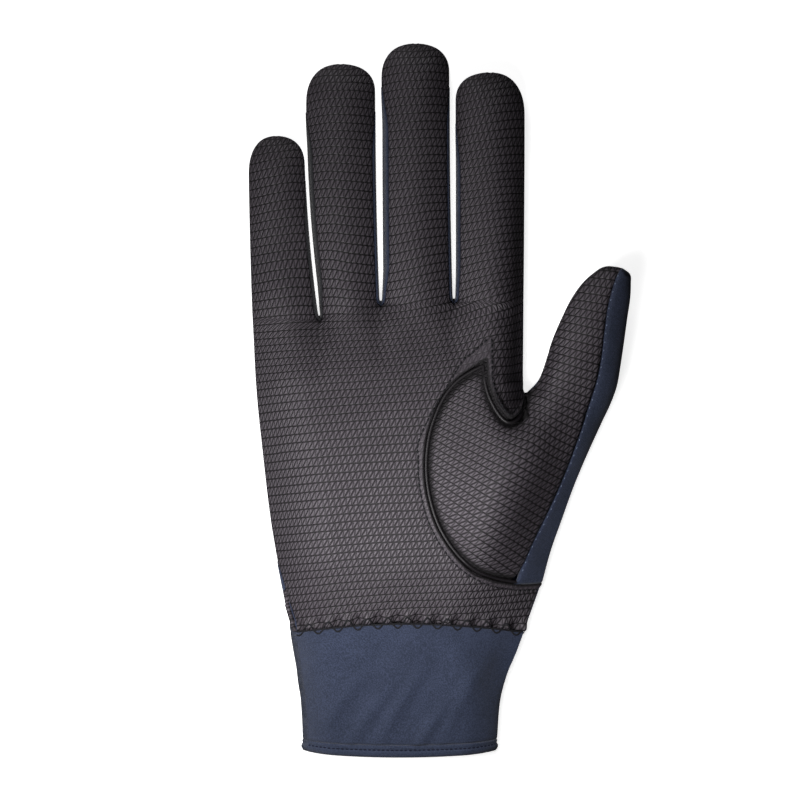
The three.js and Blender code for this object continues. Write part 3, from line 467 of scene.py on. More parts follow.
long_edge = Line([foot, *keyhole_points(KEYHOLE_LONG)])
tongue_edge = Line([*keyhole_points(TONGUE), thumb_crotch])
apex = keyhole_points(TONGUE)[0]
CORNER = 0.16
corner = long_edge.at(CORNER)
opening_points = np.concatenate([long_edge.points, tongue_edge.points])


def opening_distance(p):
    tree = KDTree(len(opening_points))
    for i, (x, y) in enumerate(opening_points):
        tree.insert((x, y, 0), i)
    tree.balance()
    flat = p.reshape(-1, 2)
    found = [tree.find((x, y, 0))[2] for x, y in flat]
    return np.array(found).reshape(p.shape[:-1])


# The whole outline with the way that the wall curves in from each of its places
outline = []


def border(p, round_, seam, half=0.0):
    tuck = np.asarray(half) * FOURCHETTE_BULGE * 2 / FOURCHETTE_HEIGHT
    columns = np.broadcast_arrays(p[..., 0], p[..., 1], round_, seam, half, tuck)
    outline.append(np.stack([np.ravel(c) for c in columns], axis=1))


def palm_round(y):
    return PALM_ROUND * read(PALM_SECTIONS, "along", y / PALM_LENGTH, "round")


def left_round(y):
    return LEFT_ROUND * read(PALM_SECTIONS, "along", y / PALM_LENGTH, "round")


def border_cuff(side):
    down = np.linspace(CUFF_LENGTH * 1.3, 0, 40)
    y = lerp(-WRIST_SEAM_RISE, HEM_BOW, down / CUFF_LENGTH) - down
    line = point(cuff_edges(down)[side], y)
    if side == 0:
        border(line, lerp(left_round(0), palm_round(0), smooth(down / 30)), PALM_SEAM_HEIGHT)
    else:
        border(line[::-1], lerp(BALL_ROUND, palm_round(0), smooth(down[::-1] / 30)), PALM_SEAM_HEIGHT)


def border_finger_side(i, side):
    slot = i - 1 + side
    inner = 0 <= slot <= 2
    y = rows_of[i][:, side]
    y = y[y >= crotch_y[slot]] if inner else y
    half = fourchette_open(i, y) * FOURCHETTE_HEIGHT / 2 * inner
    settle = 1 if inner else smooth((y - (crotch_y[0], crotch_y[2])[side]) / (widths[i] * 1.5))
    left, right = finger_edges(i, y)
    start = widths[3] / 2 if side else left_round(y)
    round_ = lerp(start, (right - left) / 2, settle)
    seam = lerp(PALM_SEAM_HEIGHT, FINGER_SEAM_HEIGHT, settle) + 0 * y
    line = point(finger_outline(i, y, side), y)
    turn = slice(None) if side == 0 else slice(None, None, -1)
    border(line[turn], round_[turn], seam[turn], half[turn])


def thumb_half(share):
    left, right, _ = thumb_rows(share)
    return np.maximum(np.linalg.norm(right - left, axis=-1) / 2, 1)


border_cuff(0)
left_ys = np.linspace(0, crotch_y[0], 80)[1:]
border(point(left_edge(left_ys), left_ys), left_round(left_ys), PALM_SEAM_HEIGHT)
for number in range(4):
    border_finger_side(number, 0)
    border_finger_side(number, 1)
    if number < 3:
        border(crotches[number], CROTCH_ROUND, FINGER_SEAM_HEIGHT, FOURCHETTE_HEIGHT / 2)
index_ys = np.linspace(crotch_y[2], thumb_crotch[1], 30)[1:]
index_share = (index_ys - thumb_crotch[1]) / THUMB_CROTCH_DROP
border(
    point(INDEX_SIDE, index_ys),
    lerp(THUMB_CROTCH_ROUND, widths[3] / 2, index_share),
    PALM_SEAM_HEIGHT,
)
thumb_shares = 1 - (1 - np.linspace(0, 1, 70)) ** 1.6
border(thumb_rows(thumb_shares)[0], thumb_half(thumb_shares), PALM_SEAM_HEIGHT)
border(thumb_rows(thumb_shares)[1][::-1], thumb_half(thumb_shares)[::-1], PALM_SEAM_HEIGHT)
side_ways = np.linspace(1, 0, 40)[1:-1]
side_rounds = lerp(thumb_half(0.0), BALL_ROUND, smooth((1 - side_ways) * 1.6))
border(thumb_side(side_ways), side_rounds, PALM_SEAM_HEIGHT)
heel_ys = np.linspace(foot[1], -WRIST_SEAM_RISE, 12)[:-1]
border(point(heel_edge(heel_ys), heel_ys), BALL_ROUND, PALM_SEAM_HEIGHT)
border_cuff(1)
outline = np.concatenate(outline)


def nearest(p):
    """For plan points: distance inside the outline, and the rounding, seam and strip there."""
    start, end = outline[:-1], outline[1:]
    way = end[:, :2] - start[:, :2]
    long = np.maximum((way**2).sum(axis=1), 1e-9)
    flat = p.reshape(-1, 2)
    found = []
    for first in range(0, len(flat), 1500):
        some = flat[first : first + 1500, None]
        t = np.clip(((some - start[:, :2]) * way).sum(axis=2) / long, 0, 1)
        gap = np.linalg.norm(some - start[:, :2] - t[..., None] * way, axis=2)
        best = gap.argmin(axis=1)
        rows = np.arange(len(best))
        share = t[rows, best][:, None]
        found.append(np.hstack([gap[rows, best][:, None], lerp(start[best, 2:], end[best, 2:], share)]))
    gap, round_, seam, half, tuck = np.concatenate(found).T
    values = np.maximum(gap - tuck, 0), round_, seam, half
    return [v.reshape(p.shape[:-1]) for v in values]


def crown(p):
    """Height of the full surface away from any edge."""
    x, y = p[..., 0], p[..., 1]
    which = sum((x > slot_x(i, y)).astype(int) for i in range(3))
    past = np.clip((y - root_y[which, 0]) / FINGERS["length"][which], 0, 1)
    finger_top = FINGER_HEIGHT * FINGERS["height"][which] * (1 - 0.12 * past * past)
    on_finger = lerp(FINGER_HEIGHT, finger_top, smooth((y - FLARE_START) / 25))
    cuff_top = CUFF_HEIGHT * read(CUFF_SECTIONS, "along", -y / CUFF_LENGTH, "height")
    palm_top = PALM_HEIGHT * read(PALM_SECTIONS, "along", y / PALM_LENGTH, "height")
    top = lerp(np.where(y < 0, cuff_top, palm_top), on_finger, smooth((y - FLARE_START + 22) / 24))
    for across, along, spread_x, spread_y, rise in zip(*PADS.values()):
        dx = (x - across * KNUCKLE_WIDTH) / (spread_x * KNUCKLE_WIDTH)
        dy = (y - along * PALM_LENGTH) / (spread_y * PALM_LENGTH)
        top = top + rise * PALM_HEIGHT * np.exp(-dx * dx - dy * dy)
    along = thumb_along(p)
    side_x = INDEX_SIDE - 9 * (1 - smooth((y - thumb_crotch[1]) / 8))
    on_thumb = smooth((along + 25) / 28) * smooth((x - side_x) / 16)
    thumb_top = THUMB_HEIGHT * read(THUMB_SECTIONS, "along", along / THUMB_LENGTH, "height")
    return lerp(top, thumb_top, on_thumb)


def lower_of(a, b, blend):
    """The lower of two heights, rounded where they meet."""
    h = np.clip(0.5 + 0.5 * (b - a) / blend, 0, 1)
    return lerp(b, a, h) - blend * h * (1 - h)


def above(p):
    inside, round_, seam, half = nearest(p)
    t = np.clip(inside / round_, 0, 1)
    sloping = smooth((round_ - 13) / 10)
    on_hand = smooth((INDEX_SIDE + 3 - p[..., 0]) / 4)
    domed = lerp(quarter(t), 1 - (1 - t) ** 2, DOME * on_hand)
    profile = lerp(domed, 1 - (1 - t) ** 1.5, sloping)
    z = lerp(seam + half, crown(p), profile)
    y = p[..., 1]
    slope = lerp(INDEX_SIDE_SLOPE, INDEX_TIP_SLOPE, smooth((y - 115) / 35))
    side = np.where(y > crotch_y[2], finger_outline(3, np.clip(y, crotch_y[2], tip_y[3]), 1), INDEX_SIDE)
    fade = 1 - smooth((y - INDEX_SIDE_START) / 9) + smooth((y - INDEX_SIDE_END) / 18)
    fall = seam + np.maximum(side - p[..., 0], 0) * slope + UNTOUCHED_ABOVE * fade
    beside_index = (p[..., 0] > lanes[3] + 4) & (p[..., 0] < side + 0.3)
    z = np.where(beside_index & (y > INDEX_SIDE_START), lower_of(z, fall, 1.6), z)
    return np.dstack([p, z])


def below(p):
    inside, _, seam, half = nearest(p)
    z = (seam - half) * (1 - quarter(inside / UNDER_ROUND))
    return np.dstack([p, z])


# Soft shapes of the worn leather and cloth: valleys and folds along short straight ways
FOLDS = table(
    "x y angle length width depth",
    (40, 46, 66, 40, 9.5, 3.4),
    (35, 96, 88, 40, 6.5, 3.0),
    (55, 77, 68, 26, 6, 1.8),
    (-22, 92, 80, 12, 3.2, -0.5),
    (-2, 97, 92, 13, 3.4, -0.55),
    (21, 98, 98, 12, 3.2, -0.5),
    (-33, 100, 8, 10, 3, -0.35),
    (-12, 104, 4, 11, 3, -0.35),
    (10, 106, -3, 11, 3, -0.3),
    (33, 104, -8, 10, 3, -0.35),
    (-20, 74, 24, 30, 7, -0.5),
    (4, 80, 8, 26, 6, -0.45),
    (-6, 40, 72, 30, 9, -0.6),
    (-28, 26, 60, 24, 8, 0.5),
    (6, 16, 35, 20, 6, 0.4),
    (36, 44, 40, 16, 6, -0.5),
    (52, 78, 60, 14, 3.5, -0.45),
    (60, 92, 20, 9, 3, -0.4),
    (64, 76, 75, 16, 4, 0.3),
)
CUFF_FOLDS = table(
    "x y angle length width depth",
    (-14, -24, 52, 20, 2.6, 0.8),
    (-6, -30, 54, 18, 2.4, 0.8),
    (6, -24, 56, 24, 2.6, 1.1),
    (14, -34, 56, 18, 2.2, 0.9),
    (13, -16, 57, 18, 3.0, -0.7),
    (24, -26, 62, 20, 2.6, 0.8),
    (-24, -14, 48, 14, 3.0, 0.6),
    (-4, -12, 50, 14, 3.0, -0.6),
    (36, -18, 70, 20, 4.2, -0.8),
)


def folds(p, rows):
    total = np.zeros(p.shape[:-1])
    for x, y, angle, length, width, depth in zip(*rows.values()):
        turn = math.radians(angle)
        dx, dy = p[..., 0] - x, p[..., 1] - y
        along = (dx * math.cos(turn) + dy * math.sin(turn)) / length
        across = (dy * math.cos(turn) - dx * math.sin(turn) + 0.06 * length * along**2) / width
        total += depth * np.exp(-along * along * 2) * np.exp(-across * across)
    return total


def settled(p):
    """1 over the surface, falling to 0 at the outline, where panels have to meet."""
    return smooth(nearest(p)[0] / SETTLE_REACH)


def ripples(p, size, seed):
    """Gentle uneven waves, the same every time."""
    draw = np.random.default_rng(seed)
    total = np.zeros(p.shape[:-1])
    for _ in range(9):
        turn, phase = draw.uniform(0, math.tau, 2)
        stretch = draw.uniform(0.7, 1.5)
        wave = (p[..., 0] * math.cos(turn) + p[..., 1] * math.sin(turn)) / (size * stretch)
        total += np.sin(wave * math.tau + phase) / 9
    return total


class Panel:
    """One sewn panel, made of grids that are joined where they meet."""

    def __init__(self, name):
        self.name = name
        self.bm = bmesh.new()
        self.grain = self.bm.verts.layers.float_vector.new("grain")
        self.seam = None

    def seams(self, *distances):
        """Marks each vertex with how far it lies from the panel's seams and stitches."""
        self.seam = self.bm.verts.layers.float_vector.new("seam")
        plan = np.array([v.co.xy for v in self.bm.verts])
        for vert, *gaps in zip(self.bm.verts, *[distance(plan) for distance in distances]):
            vert[self.seam] = (*gaps, 0)
        return self

    def grid(self, points, grain=None):
        rows, columns = points.shape[0] - 1, points.shape[1] - 1
        made = bmesh.ops.create_grid(self.bm, x_segments=columns, y_segments=rows, size=0.5)
        for vert in made["verts"]:
            j = round((vert.co.y + 0.5) * rows)
            k = round((vert.co.x + 0.5) * columns)
            vert.co = points[j, k]
            if grain is not None:
                vert[self.grain] = (*grain[j, k], 0)
        return self

    def join(self):
        bmesh.ops.remove_doubles(self.bm, verts=self.bm.verts, dist=0.02)
        bmesh.ops.dissolve_degenerate(self.bm, edges=self.bm.edges, dist=0.005)
        return self

    def relax(self, times, height_only=True):
        inner = [v for v in self.bm.verts if not v.is_boundary]
        for _ in range(times):
            bmesh.ops.smooth_vert(
                self.bm,
                verts=inner,
                factor=0.5,
                use_axis_x=not height_only,
                use_axis_y=not height_only,
                use_axis_z=True,
            )
        return self

    def press(self, amount):
        """Moves the surface in or out along its own direction, by amount(plan points)."""
        self.bm.normal_update()
        verts = list(self.bm.verts)
        plan = np.array([v.co.xy for v in verts])
        for vert, step in zip(verts, amount(plan)):
            vert.co += vert.normal * float(step)
        return self

    def roll_edges(self, reach=EDGE_ROLL, drop=EDGE_DROP):
        """Turns the panel's edges down into its seams."""
        self.bm.normal_update()
        rim = [v for v in self.bm.verts if v.is_boundary]
        tree = KDTree(len(rim))
        for i, vert in enumerate(rim):
            tree.insert(vert.co, i)
        tree.balance()
        moves = []
        for vert in self.bm.verts:
            gap = tree.find(vert.co)[2]
            if gap < reach:
                moves.append((vert, vert.normal * -drop * (1 - gap / reach) ** 2))
        for vert, move in moves:
            vert.co += move
        return self

    def finish(self, wall, *nodes):
        for vert in self.bm.verts:
            vert.co.z = max(vert.co.z, 0.02)
        return piece_of(self.name, self.bm, nodes, wall=wall, maps=("grain", "seam"))


def piece_of(name, bm, nodes=(), wall=None, maps=()):
    """A finished piece: its mesh in the row's frame, riding on the glove."""
    for key in maps:
        if bm.verts.layers.float_vector.get(key) is None:
            continue
        uv = bm.loops.layers.uv.new(key)
        layer = bm.verts.layers.float_vector.get(key)
        for face in bm.faces:
            for loop in face.loops:
                loop[uv].uv = loop.vert[layer].xy * MAP_SCALE
    shift = Vector((-PLAN_ORIGIN[0], -PLAN_ORIGIN[1], 0))
    bmesh.ops.translate(bm, verts=bm.verts, vec=shift)
    bmesh.ops.scale(bm, verts=bm.verts, vec=(MM, MM, MM))
    for face in bm.faces:
        face.smooth = True
    mesh = bpy.data.meshes.new(name)
    bm.to_mesh(mesh)
    bm.free()
    piece = bpy.data.objects.new(name, mesh)
    bpy.context.scene.collection.objects.link(piece)
    if wall:
        thickness = piece.modifiers.new("wall", "SOLIDIFY")
        thickness.thickness = wall * MM
        thickness.offset = -1
        thickness.use_rim = True
    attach(piece, "root")
    if nodes:
        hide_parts(*nodes)
    return piece


def round_ring(rings):
    """Distance along each ring from its first point."""
    across = np.linalg.norm(np.diff(rings[..., [0, 2]], axis=1), axis=2)
    return np.concatenate([np.zeros((len(rings), 1)), np.cumsum(across, axis=1)], axis=1)


# Plan of the palm: rows of points, from the wrist up to the knuckles, then each finger
def turned(count):
    return (1 - np.cos(np.arange(count + 1) / count * math.pi)) / 2


def crowded(count):
    return (np.arange(count + 1) / count) ** EDGE_CROWDING


def finger_plan(i, shares, top=False):
    """Rows of a finger between the seams beside it."""
    ys = rows_of[i]
    ends = [point(seam_edge(i, ys[:, side], side, top), ys[:, side]) for side in (0, 1)]
    return mix(ends[0][:, None], ends[1][:, None], shares[None])


def root_plan(shares):
    lines = [finger_plan(i, shares)[0] for i in range(4)]
    return np.concatenate([lines[0], *[line[1:] for line in lines[1:]]])


APEX_COLUMN = int(3.5 * FINGER_COLUMNS)
root = root_plan(turned(FINGER_COLUMNS))
apex_start = row_start(apex_y)[0]
root_x = root[:, 0]
before_apex = lerp(apex_start, apex[0], (root_x - root_x[0]) / (root_x[APEX_COLUMN] - root_x[0]))
after_apex = lerp(
    apex[0],
    INDEX_SIDE,
    (root_x - root_x[APEX_COLUMN]) / (root_x[-1] - root_x[APEX_COLUMN]),
)
apex_x = np.where(np.arange(len(root)) <= APEX_COLUMN, before_apex, after_apex)
apex_row = point(apex_x, apex_y)


def long_edge_at(y):
    """Point of the opening's long edge at a height, on the side that faces the palm."""
    shares = np.linspace(CORNER, 1, 400)
    line = long_edge.at(shares)
    return point(np.interp(y, line[:, 1], line[:, 0]), y)


beside_ys = np.linspace(corner[1], apex_y, KEYHOLE_ROWS + 1)
beside_starts = row_start(beside_ys)
beside_ends = long_edge_at(beside_ys)
beside_ends[0], beside_ends[-1] = corner, apex
upper_shares = (apex_x[: APEX_COLUMN + 1] - apex_start) / (apex[0] - apex_start)
settle = smooth((beside_ys - corner[1]) / (apex_y - corner[1]))[:, None]
beside_shares = lerp(crowded(APEX_COLUMN)[None], upper_shares[None], settle)
beside = mix(beside_starts[:, None], beside_ends[:, None], beside_shares)


def wrist_point(x):
    share = (x - wrist_left) / WRIST_WIDTH
    return point(x, -WRIST_SEAM_RISE * (2 * share - 1) ** 2)


strip_shares = 1 - (1 - (np.arange(STRIP_COLUMNS) + 1) / STRIP_COLUMNS) ** EDGE_CROWDING
wrist_top = np.concatenate(
    [
        wrist_point(lerp(row_start(0.0)[0], corner[0], crowded(APEX_COLUMN))),
        wrist_point(lerp(corner[0], wrist_right, strip_shares)),
    ]
)
strip_top = long_edge.at(CORNER * (1 - (np.arange(STRIP_COLUMNS) + 1) / STRIP_COLUMNS))
heel_top = np.concatenate([beside[0], strip_top])
heel_t = np.arange(HEEL_ROWS + 1) / HEEL_ROWS
heel = mix(wrist_top[None], heel_top[None], np.repeat(heel_t[:, None], len(heel_top), axis=1))
heel[:, 0, 0] = left_edge(heel[:, 0, 1]) + left_wrap(heel[:, 0, 1])
heel[:, -1, 0] = heel_edge(heel[:, -1, 1])
knuckle_t = np.arange(KNUCKLE_ROWS + 1) / KNUCKLE_ROWS
knuckles = mix(apex_row[None], root[None], np.repeat(knuckle_t[:, None], len(root), axis=1))
knuckles[:, 0, 0] = left_edge(knuckles[:, 0, 1])


def filled(bottom, top, left, right):
    """A grid of points between four edges."""
    u = (np.arange(len(bottom)) / (len(bottom) - 1))[None, :]
    v = (np.arange(len(left)) / (len(left) - 1))[:, None]
    across = mix(left[:, None], right[:, None], u + 0 * v)
    up = mix(bottom[None], top[None], v + 0 * u)
    low = mix(bottom[0], bottom[-1], u)
    high = mix(top[0], top[-1], u)
    return across + up - mix(low, high, v + 0 * u)


def unfolded(grid, rounds=500):
    """Spreads the inner points of a grid of plan points so that no cell folds over."""
    p = grid.copy()
    for _ in range(rounds):
        along = (p[2:, 1:-1] - p[:-2, 1:-1]) / 2
        across = (p[1:-1, 2:] - p[1:-1, :-2]) / 2
        a = (across**2).sum(axis=2)[..., None]
        b = (along * across).sum(axis=2)[..., None]
        c = (along**2).sum(axis=2)[..., None]
        skew = (p[2:, 2:] - p[2:, :-2] - p[:-2, 2:] + p[:-2, :-2]) / 4
        ways = a * (p[2:, 1:-1] + p[:-2, 1:-1]) + c * (p[1:-1, 2:] + p[1:-1, :-2])
        p[1:-1, 1:-1] = (ways - 2 * b * skew) / np.maximum(2 * (a + c), 1e-9)
    return p


TONGUE_TURN = 0.42
tongue_columns = FINGER_COLUMNS // 2
tongue = filled(
    tongue_edge.at(np.linspace(TONGUE_TURN, 1, tongue_columns + 1)),
    apex_row[APEX_COLUMN:],
    tongue_edge.at(np.linspace(TONGUE_TURN, 0, TONGUE_ROWS + 1)),
    mix(thumb_crotch, apex_row[-1], np.linspace(0, 1, TONGUE_ROWS + 1)),
)

# The raised band round the opening, with the line of stitches along its outer side
STITCH_TIP = apex + (2.0, 8.0)
STITCH_RISE = apex + np.array([(-8.6, -1.4), (-4.5, 2.6), (-0.3, 6.4)])
long_shares = np.linspace(0.0, 0.86, 60)
tongue_shares = np.linspace(0.16, 0.93, 40)
long_stitches = long_edge.at(long_shares) + long_edge.side(long_shares) * BAND_WIDTH
tongue_stitches = tongue_edge.at(tongue_shares) + tongue_edge.side(tongue_shares) * BAND_WIDTH
stitch_lines = [
    Line([*long_stitches[:54:6], *STITCH_RISE, STITCH_TIP]),
    Line([STITCH_TIP, *tongue_stitches[::5]]),
]


def line_distance(p, line):
    flat = p.reshape(-1, 2)
    places = line.points[::3]
    found = []
    for first in range(0, len(flat), 4000):
        gaps = np.linalg.norm(flat[first : first + 4000, None] - places, axis=2)
        found.append(gaps.min(axis=1))
    return np.concatenate(found).reshape(p.shape[:-1])


def stitch_distance(p):
    return np.minimum(*[line_distance(p, line) for line in stitch_lines])


def past_stitches(p):
    """Distance from the line of stitches, below zero on the band's side of it."""
    ring = np.concatenate([line.points[::3] for line in stitch_lines])
    start, end = ring, np.roll(ring, -1, axis=0)
    x, y = p[:, :1], p[:, 1:]
    between = (start[:, 1] > y) != (end[:, 1] > y)
    rise = np.where(start[:, 1] == end[:, 1], 1, end[:, 1] - start[:, 1])
    cross = start[:, 0] + (y - start[:, 1]) / rise * (end[:, 0] - start[:, 0])
    within = (between & (x < cross)).sum(axis=1) % 2 == 1
    return stitch_distance(p) * np.where(within, -1, 1)


# The zigzag thread along the wrist seam: its repeat and how far it reaches up and down
ZIGZAG_PITCH = 6.55
ZIGZAG_UP = 2.2
ZIGZAG_DOWN = 1.35


def palm_relief(p):
    to_opening = opening_distance(p)
    stitch_gap = stitch_distance(p)
    band = BAND_RISE * smooth(1 - to_opening / (BAND_WIDTH * 1.15))
    groove = -0.42 * np.exp(-((stitch_gap / 0.55) ** 2))
    wave = 0.35 * ripples(p, 26, 4) + 0.16 * ripples(p, 11, 9)
    seam_share = (p[:, 0] - wrist_left) / WRIST_WIDTH
    to_wrist = p[:, 1] + WRIST_SEAM_RISE * (2 * seam_share - 1) ** 2
    pucker = 1.3 * np.cos(p[:, 0] / ZIGZAG_PITCH * math.tau) * np.exp(-((to_wrist - 1.3) ** 2) / 3)
    soft = (wave + folds(p, FOLDS)) * settled(p)
    return band + groove + soft + np.where(to_wrist < 9, pucker, 0)


# The leather's rows of cells: how far apart they are along the glove, and how they tilt
GRAIN_PITCH = table(
    "along pitch",
    (-5, 2.5),
    (30, 2.5),
    (44, 2.74),
    (70, 2.74),
    (81, 2.42),
    (91, 2.15),
    (101, 2.2),
    (111, 2.75),
    (121, 3.15),
    (131, 3.1),
    (142, 2.85),
    (155, 2.8),
    (170, 2.75),
    (196, 2.75),
)
GRAIN_TILT = table(
    "along left pinky ring middle index",
    (-5, 16, 12, 7, 2, 3),
    (20, 13, 9, 5, 2, 3),
    (45, 11, 8, 4, 2, 4),
    (70, 10, 7, 4, 3, 5),
    (88, 5, 4, 3, 4, 10),
    (100, 4, 4, 0, 6, 14),
    (110, 8, 8, -8, 12, 15),
    (122, 10, 10, -11, 13, 12),
    (134, 11, 11, -6, 9, 9),
    (152, 10, 10, -4, 3, 7),
    (172, 8, 8, 0, 2, 9),
    (196, 8, 8, 0, 0, 9),
)
TILT_ACROSS = (-52, -36, -15, 8, 32)


def grain_rows(plan, extra=0.0):
    """How many rows of cells lie between the wrist and each plan point."""
    ys = np.linspace(-12, 200, 425)
    counts = np.cumsum(0.5 / read(GRAIN_PITCH, "along", ys, "pitch"))
    xs = np.linspace(-58, 62, 121)
    columns = [read(GRAIN_TILT, "along", ys, key) for key in list(GRAIN_TILT)[1:]]
    tilts = np.array([np.interp(xs, TILT_ACROSS, row) for row in np.array(columns).T])
    drops = np.cumsum(np.tan(np.radians(tilts)), axis=1)
    drops -= drops[:, 58:59]
    x, y = plan[..., 0], plan[..., 1]
    j = np.clip((y + 12) / 0.5, 0, len(ys) - 1.001)
    k = np.clip(x + 58, 0, len(xs) - 1.001)
    j0, k0 = j.astype(int), k.astype(int)
    low = lerp(drops[j0, k0], drops[j0, k0 + 1], k - k0)
    high = lerp(drops[j0 + 1, k0], drops[j0 + 1, k0 + 1], k - k0)
    return np.interp(y - lerp(low, high, j - j0), ys, counts) + extra / GRAIN_PITCH["pitch"][-1]


def stretch(points, middle):
    """How much longer the surface is than its plan, from the middle column out."""
    full = np.linalg.norm(np.diff(points[..., [0, 2]], axis=1), axis=2)
    plan = np.abs(np.diff(points[..., 0], axis=1))
    extra = np.concatenate([np.zeros((len(points), 1)), np.cumsum(full - plan, axis=1)], axis=1)
    return extra - extra[:, middle : middle + 1]


def palm_grain(points, middle=60):
    u = points[..., 0] + stretch(points, middle)
    return np.stack([u, grain_rows(points)], axis=2)


palm = Panel("palm")
heel_skin, beside_skin, knuckle_skin = [above(plan) for plan in (heel, beside, knuckles)]
knuckle_grain = palm_grain(knuckle_skin)
palm.grid(heel_skin, palm_grain(heel_skin))
palm.grid(beside_skin, palm_grain(beside_skin))
palm.grid(knuckle_skin, knuckle_grain)
tongue_skin = above(tongue)
tongue_extra = knuckle_grain[0, APEX_COLUMN:, 0] - knuckle_skin[0, APEX_COLUMN:, 0]
tongue_u = tongue_skin[..., 0] + tongue_extra
palm.grid(tongue_skin, np.stack([tongue_u, grain_rows(tongue_skin)], axis=2))
for number in range(4):
    skin = above(finger_plan(number, turned(FINGER_COLUMNS), top=True))
    own = skin[..., 0] + stretch(skin, FINGER_COLUMNS // 2)
    first = number * FINGER_COLUMNS
    root_u = knuckle_grain[-1, first : first + FINGER_COLUMNS + 1, 0]
    settle = smooth(np.arange(len(skin)) / 46)[:, None]
    u = own + (root_u - own[0]) * (1 - settle)
    full = np.linalg.norm(np.diff(skin[..., 1:], axis=0), axis=2)
    flat = np.abs(np.diff(skin[..., 1], axis=0))
    extra = np.concatenate([0 * full[:1], np.cumsum(full - flat, axis=0)], axis=0)
    palm.grid(skin, np.stack([u, grain_rows(skin, extra)], axis=2))
palm.join().seams(opening_distance, past_stitches)
palm.relax(6).press(palm_relief).roll_edges()
palm_piece = palm.finish(LEATHER_WALL, "palm_leather")

# Back of the hand, lying on the surface
lane_shares = turned(BACK_LANE_COLUMNS)
back_root = root_plan(lane_shares)
back_s = np.arange(len(back_root)) / (len(back_root) - 1)
even = back_s - 0.8 * np.sin(math.tau * back_s) / math.tau
root_shares = (back_root[:, 0] - back_root[0, 0]) / (back_root[-1, 0] - back_root[0, 0])
CROTCH_ROW = HEEL_ROWS + KEYHOLE_ROWS - TONGUE_ROWS
APEX_ROW = HEEL_ROWS + KEYHOLE_ROWS
seam_steps = np.linspace(0, 1, CROTCH_ROW - HEEL_ROWS + 1)
thumb_base = mix(foot, thumb_crotch, seam_steps)
back_ends = np.concatenate([heel[:, -1], thumb_base[1:], tongue[1:, -1], knuckles[1:, -1]])
back_starts = np.concatenate([heel[:, 0], beside[1:, 0], knuckles[1:, 0]])
rows = np.arange(len(back_ends))
settle = smooth((rows - APEX_ROW + 16) / (KNUCKLE_ROWS + 16))[:, None]
back_plan = mix(back_starts[:, None], back_ends[:, None], lerp(even[None], root_shares[None], settle))
high = np.clip((rows - APEX_ROW) / KNUCKLE_ROWS, 0, 1)[:, None]
back_plan[..., 1] = lerp(back_plan[..., 1], lerp(apex_y, back_root[None, :, 1], high), (high > 0) * 1.0)
back_skin = below(back_plan)
side_line = point(left_edge(back_starts[:, 1]), back_starts[:, 1])
back_skin[:, 0] = above(side_line[:, None])[:, 0]
on_edge = (rows <= HEEL_ROWS) | (rows > CROTCH_ROW)
back_skin[on_edge, -1] = above(back_ends[on_edge][:, None])[:, 0]
wrap_steps = [mix(back_starts, side_line, t) for t in np.linspace(0, 1, 5)[:-1]]
wrap_skin = np.stack([above(step[:, None])[:, 0] for step in wrap_steps], axis=1)
back_skin = np.concatenate([wrap_skin, back_skin], axis=1)


def plain_grain(points):
    return points[..., :2].copy()


back = Panel("back")
flipped = back_skin[:, ::-1]
back.grid(flipped, plain_grain(flipped))
for number in range(4):
    plan = finger_plan(number, lane_shares)
    skin = below(plan)
    if number == 0:
        skin[:, 0] = above(plan[:, :1])[:, 0]
    if number == 3:
        skin[:, -1] = above(plan[:, -1:])[:, 0]
    back.grid(skin[:, ::-1], plain_grain(skin[:, ::-1]))
back.join().relax(2).roll_edges(reach=1.0, drop=0.3)
back_piece = back.finish(FABRIC_WALL, "back_fabric")


# Strips between the fingers
def fourchette(name, i, node):
    def edge(finger, side):
        y = rows_of[finger][:, side]
        y = y[y < shoulder_y[finger] - FOURCHETTE_TAPER / 8]
        seam = point(seam_edge(finger, y, side), y)
        leather = point(seam_edge(finger, y, side, top=True), y)
        half = fourchette_open(finger, y) * FOURCHETTE_HEIGHT / 2
        return seam, leather, half

    low, high, half = [np.concatenate([a[::-1], b[1:]]) for a, b in zip(edge(i, 1), edge(i + 1, 0))]
    line = low
    way = np.gradient(line, axis=0)
    way /= np.linalg.norm(way, axis=1, keepdims=True)
    outward = np.stack([-way[:, 1], way[:, 0]], axis=1)
    turn = np.linspace(-math.pi / 2, math.pi / 2, 9)
    bulge = FOURCHETTE_BULGE * (half / (FOURCHETTE_HEIGHT / 2))
    share = (1 + np.sin(turn)) / 2
    base = mix(low[:, None], high[:, None], share[None] + 0 * half[:, None])
    plan = base + outward[:, None] * (bulge[:, None] * np.cos(turn))[..., None]
    top = above(high[None])[0, :, 2]
    z = lerp((FINGER_SEAM_HEIGHT - half)[:, None], top[:, None], share[None])
    skin = np.dstack([plan, z])
    strip = Panel(name)
    strip.grid(skin, np.stack([z, np.broadcast_to(line[:, 1:2], z.shape)], axis=2))
    return strip.join().finish(FABRIC_WALL, node)


fourchettes = [
    fourchette("gusset_pinky_ring", 0, "fourchette_pinky_ring"),
    fourchette("gusset_ring_middle", 1, "fourchette_ring_middle"),
    fourchette("gusset_middle_index", 2, "fourchette_middle_index"),
]

# Cuff and hem: rings that carry on from the wrist seam
under_wrist = back_plan[0][::-1]
ring_plan = np.concatenate([wrist_top, under_wrist[1:-1], side_line[:1]])
ring_top = np.concatenate([np.ones(len(wrist_top)), np.zeros(len(under_wrist) - 1)]) > 0.5
ring_share = (ring_plan[:, 0] - wrist_left) / WRIST_WIDTH


def cuff_ring(down):
    left, right = cuff_edges(down)
    bow = np.where(ring_top, HEM_BOW * (2 * ring_share - 1) ** 2, HEM_BOW)
    y = lerp(ring_plan[:, 1], bow, down / CUFF_LENGTH) - down
    plan = point(lerp(left, right, ring_share), y)[None]
    ring = np.where(ring_top[None, :, None], above(plan), below(plan))[0]
    return np.concatenate([ring, ring[:1]])


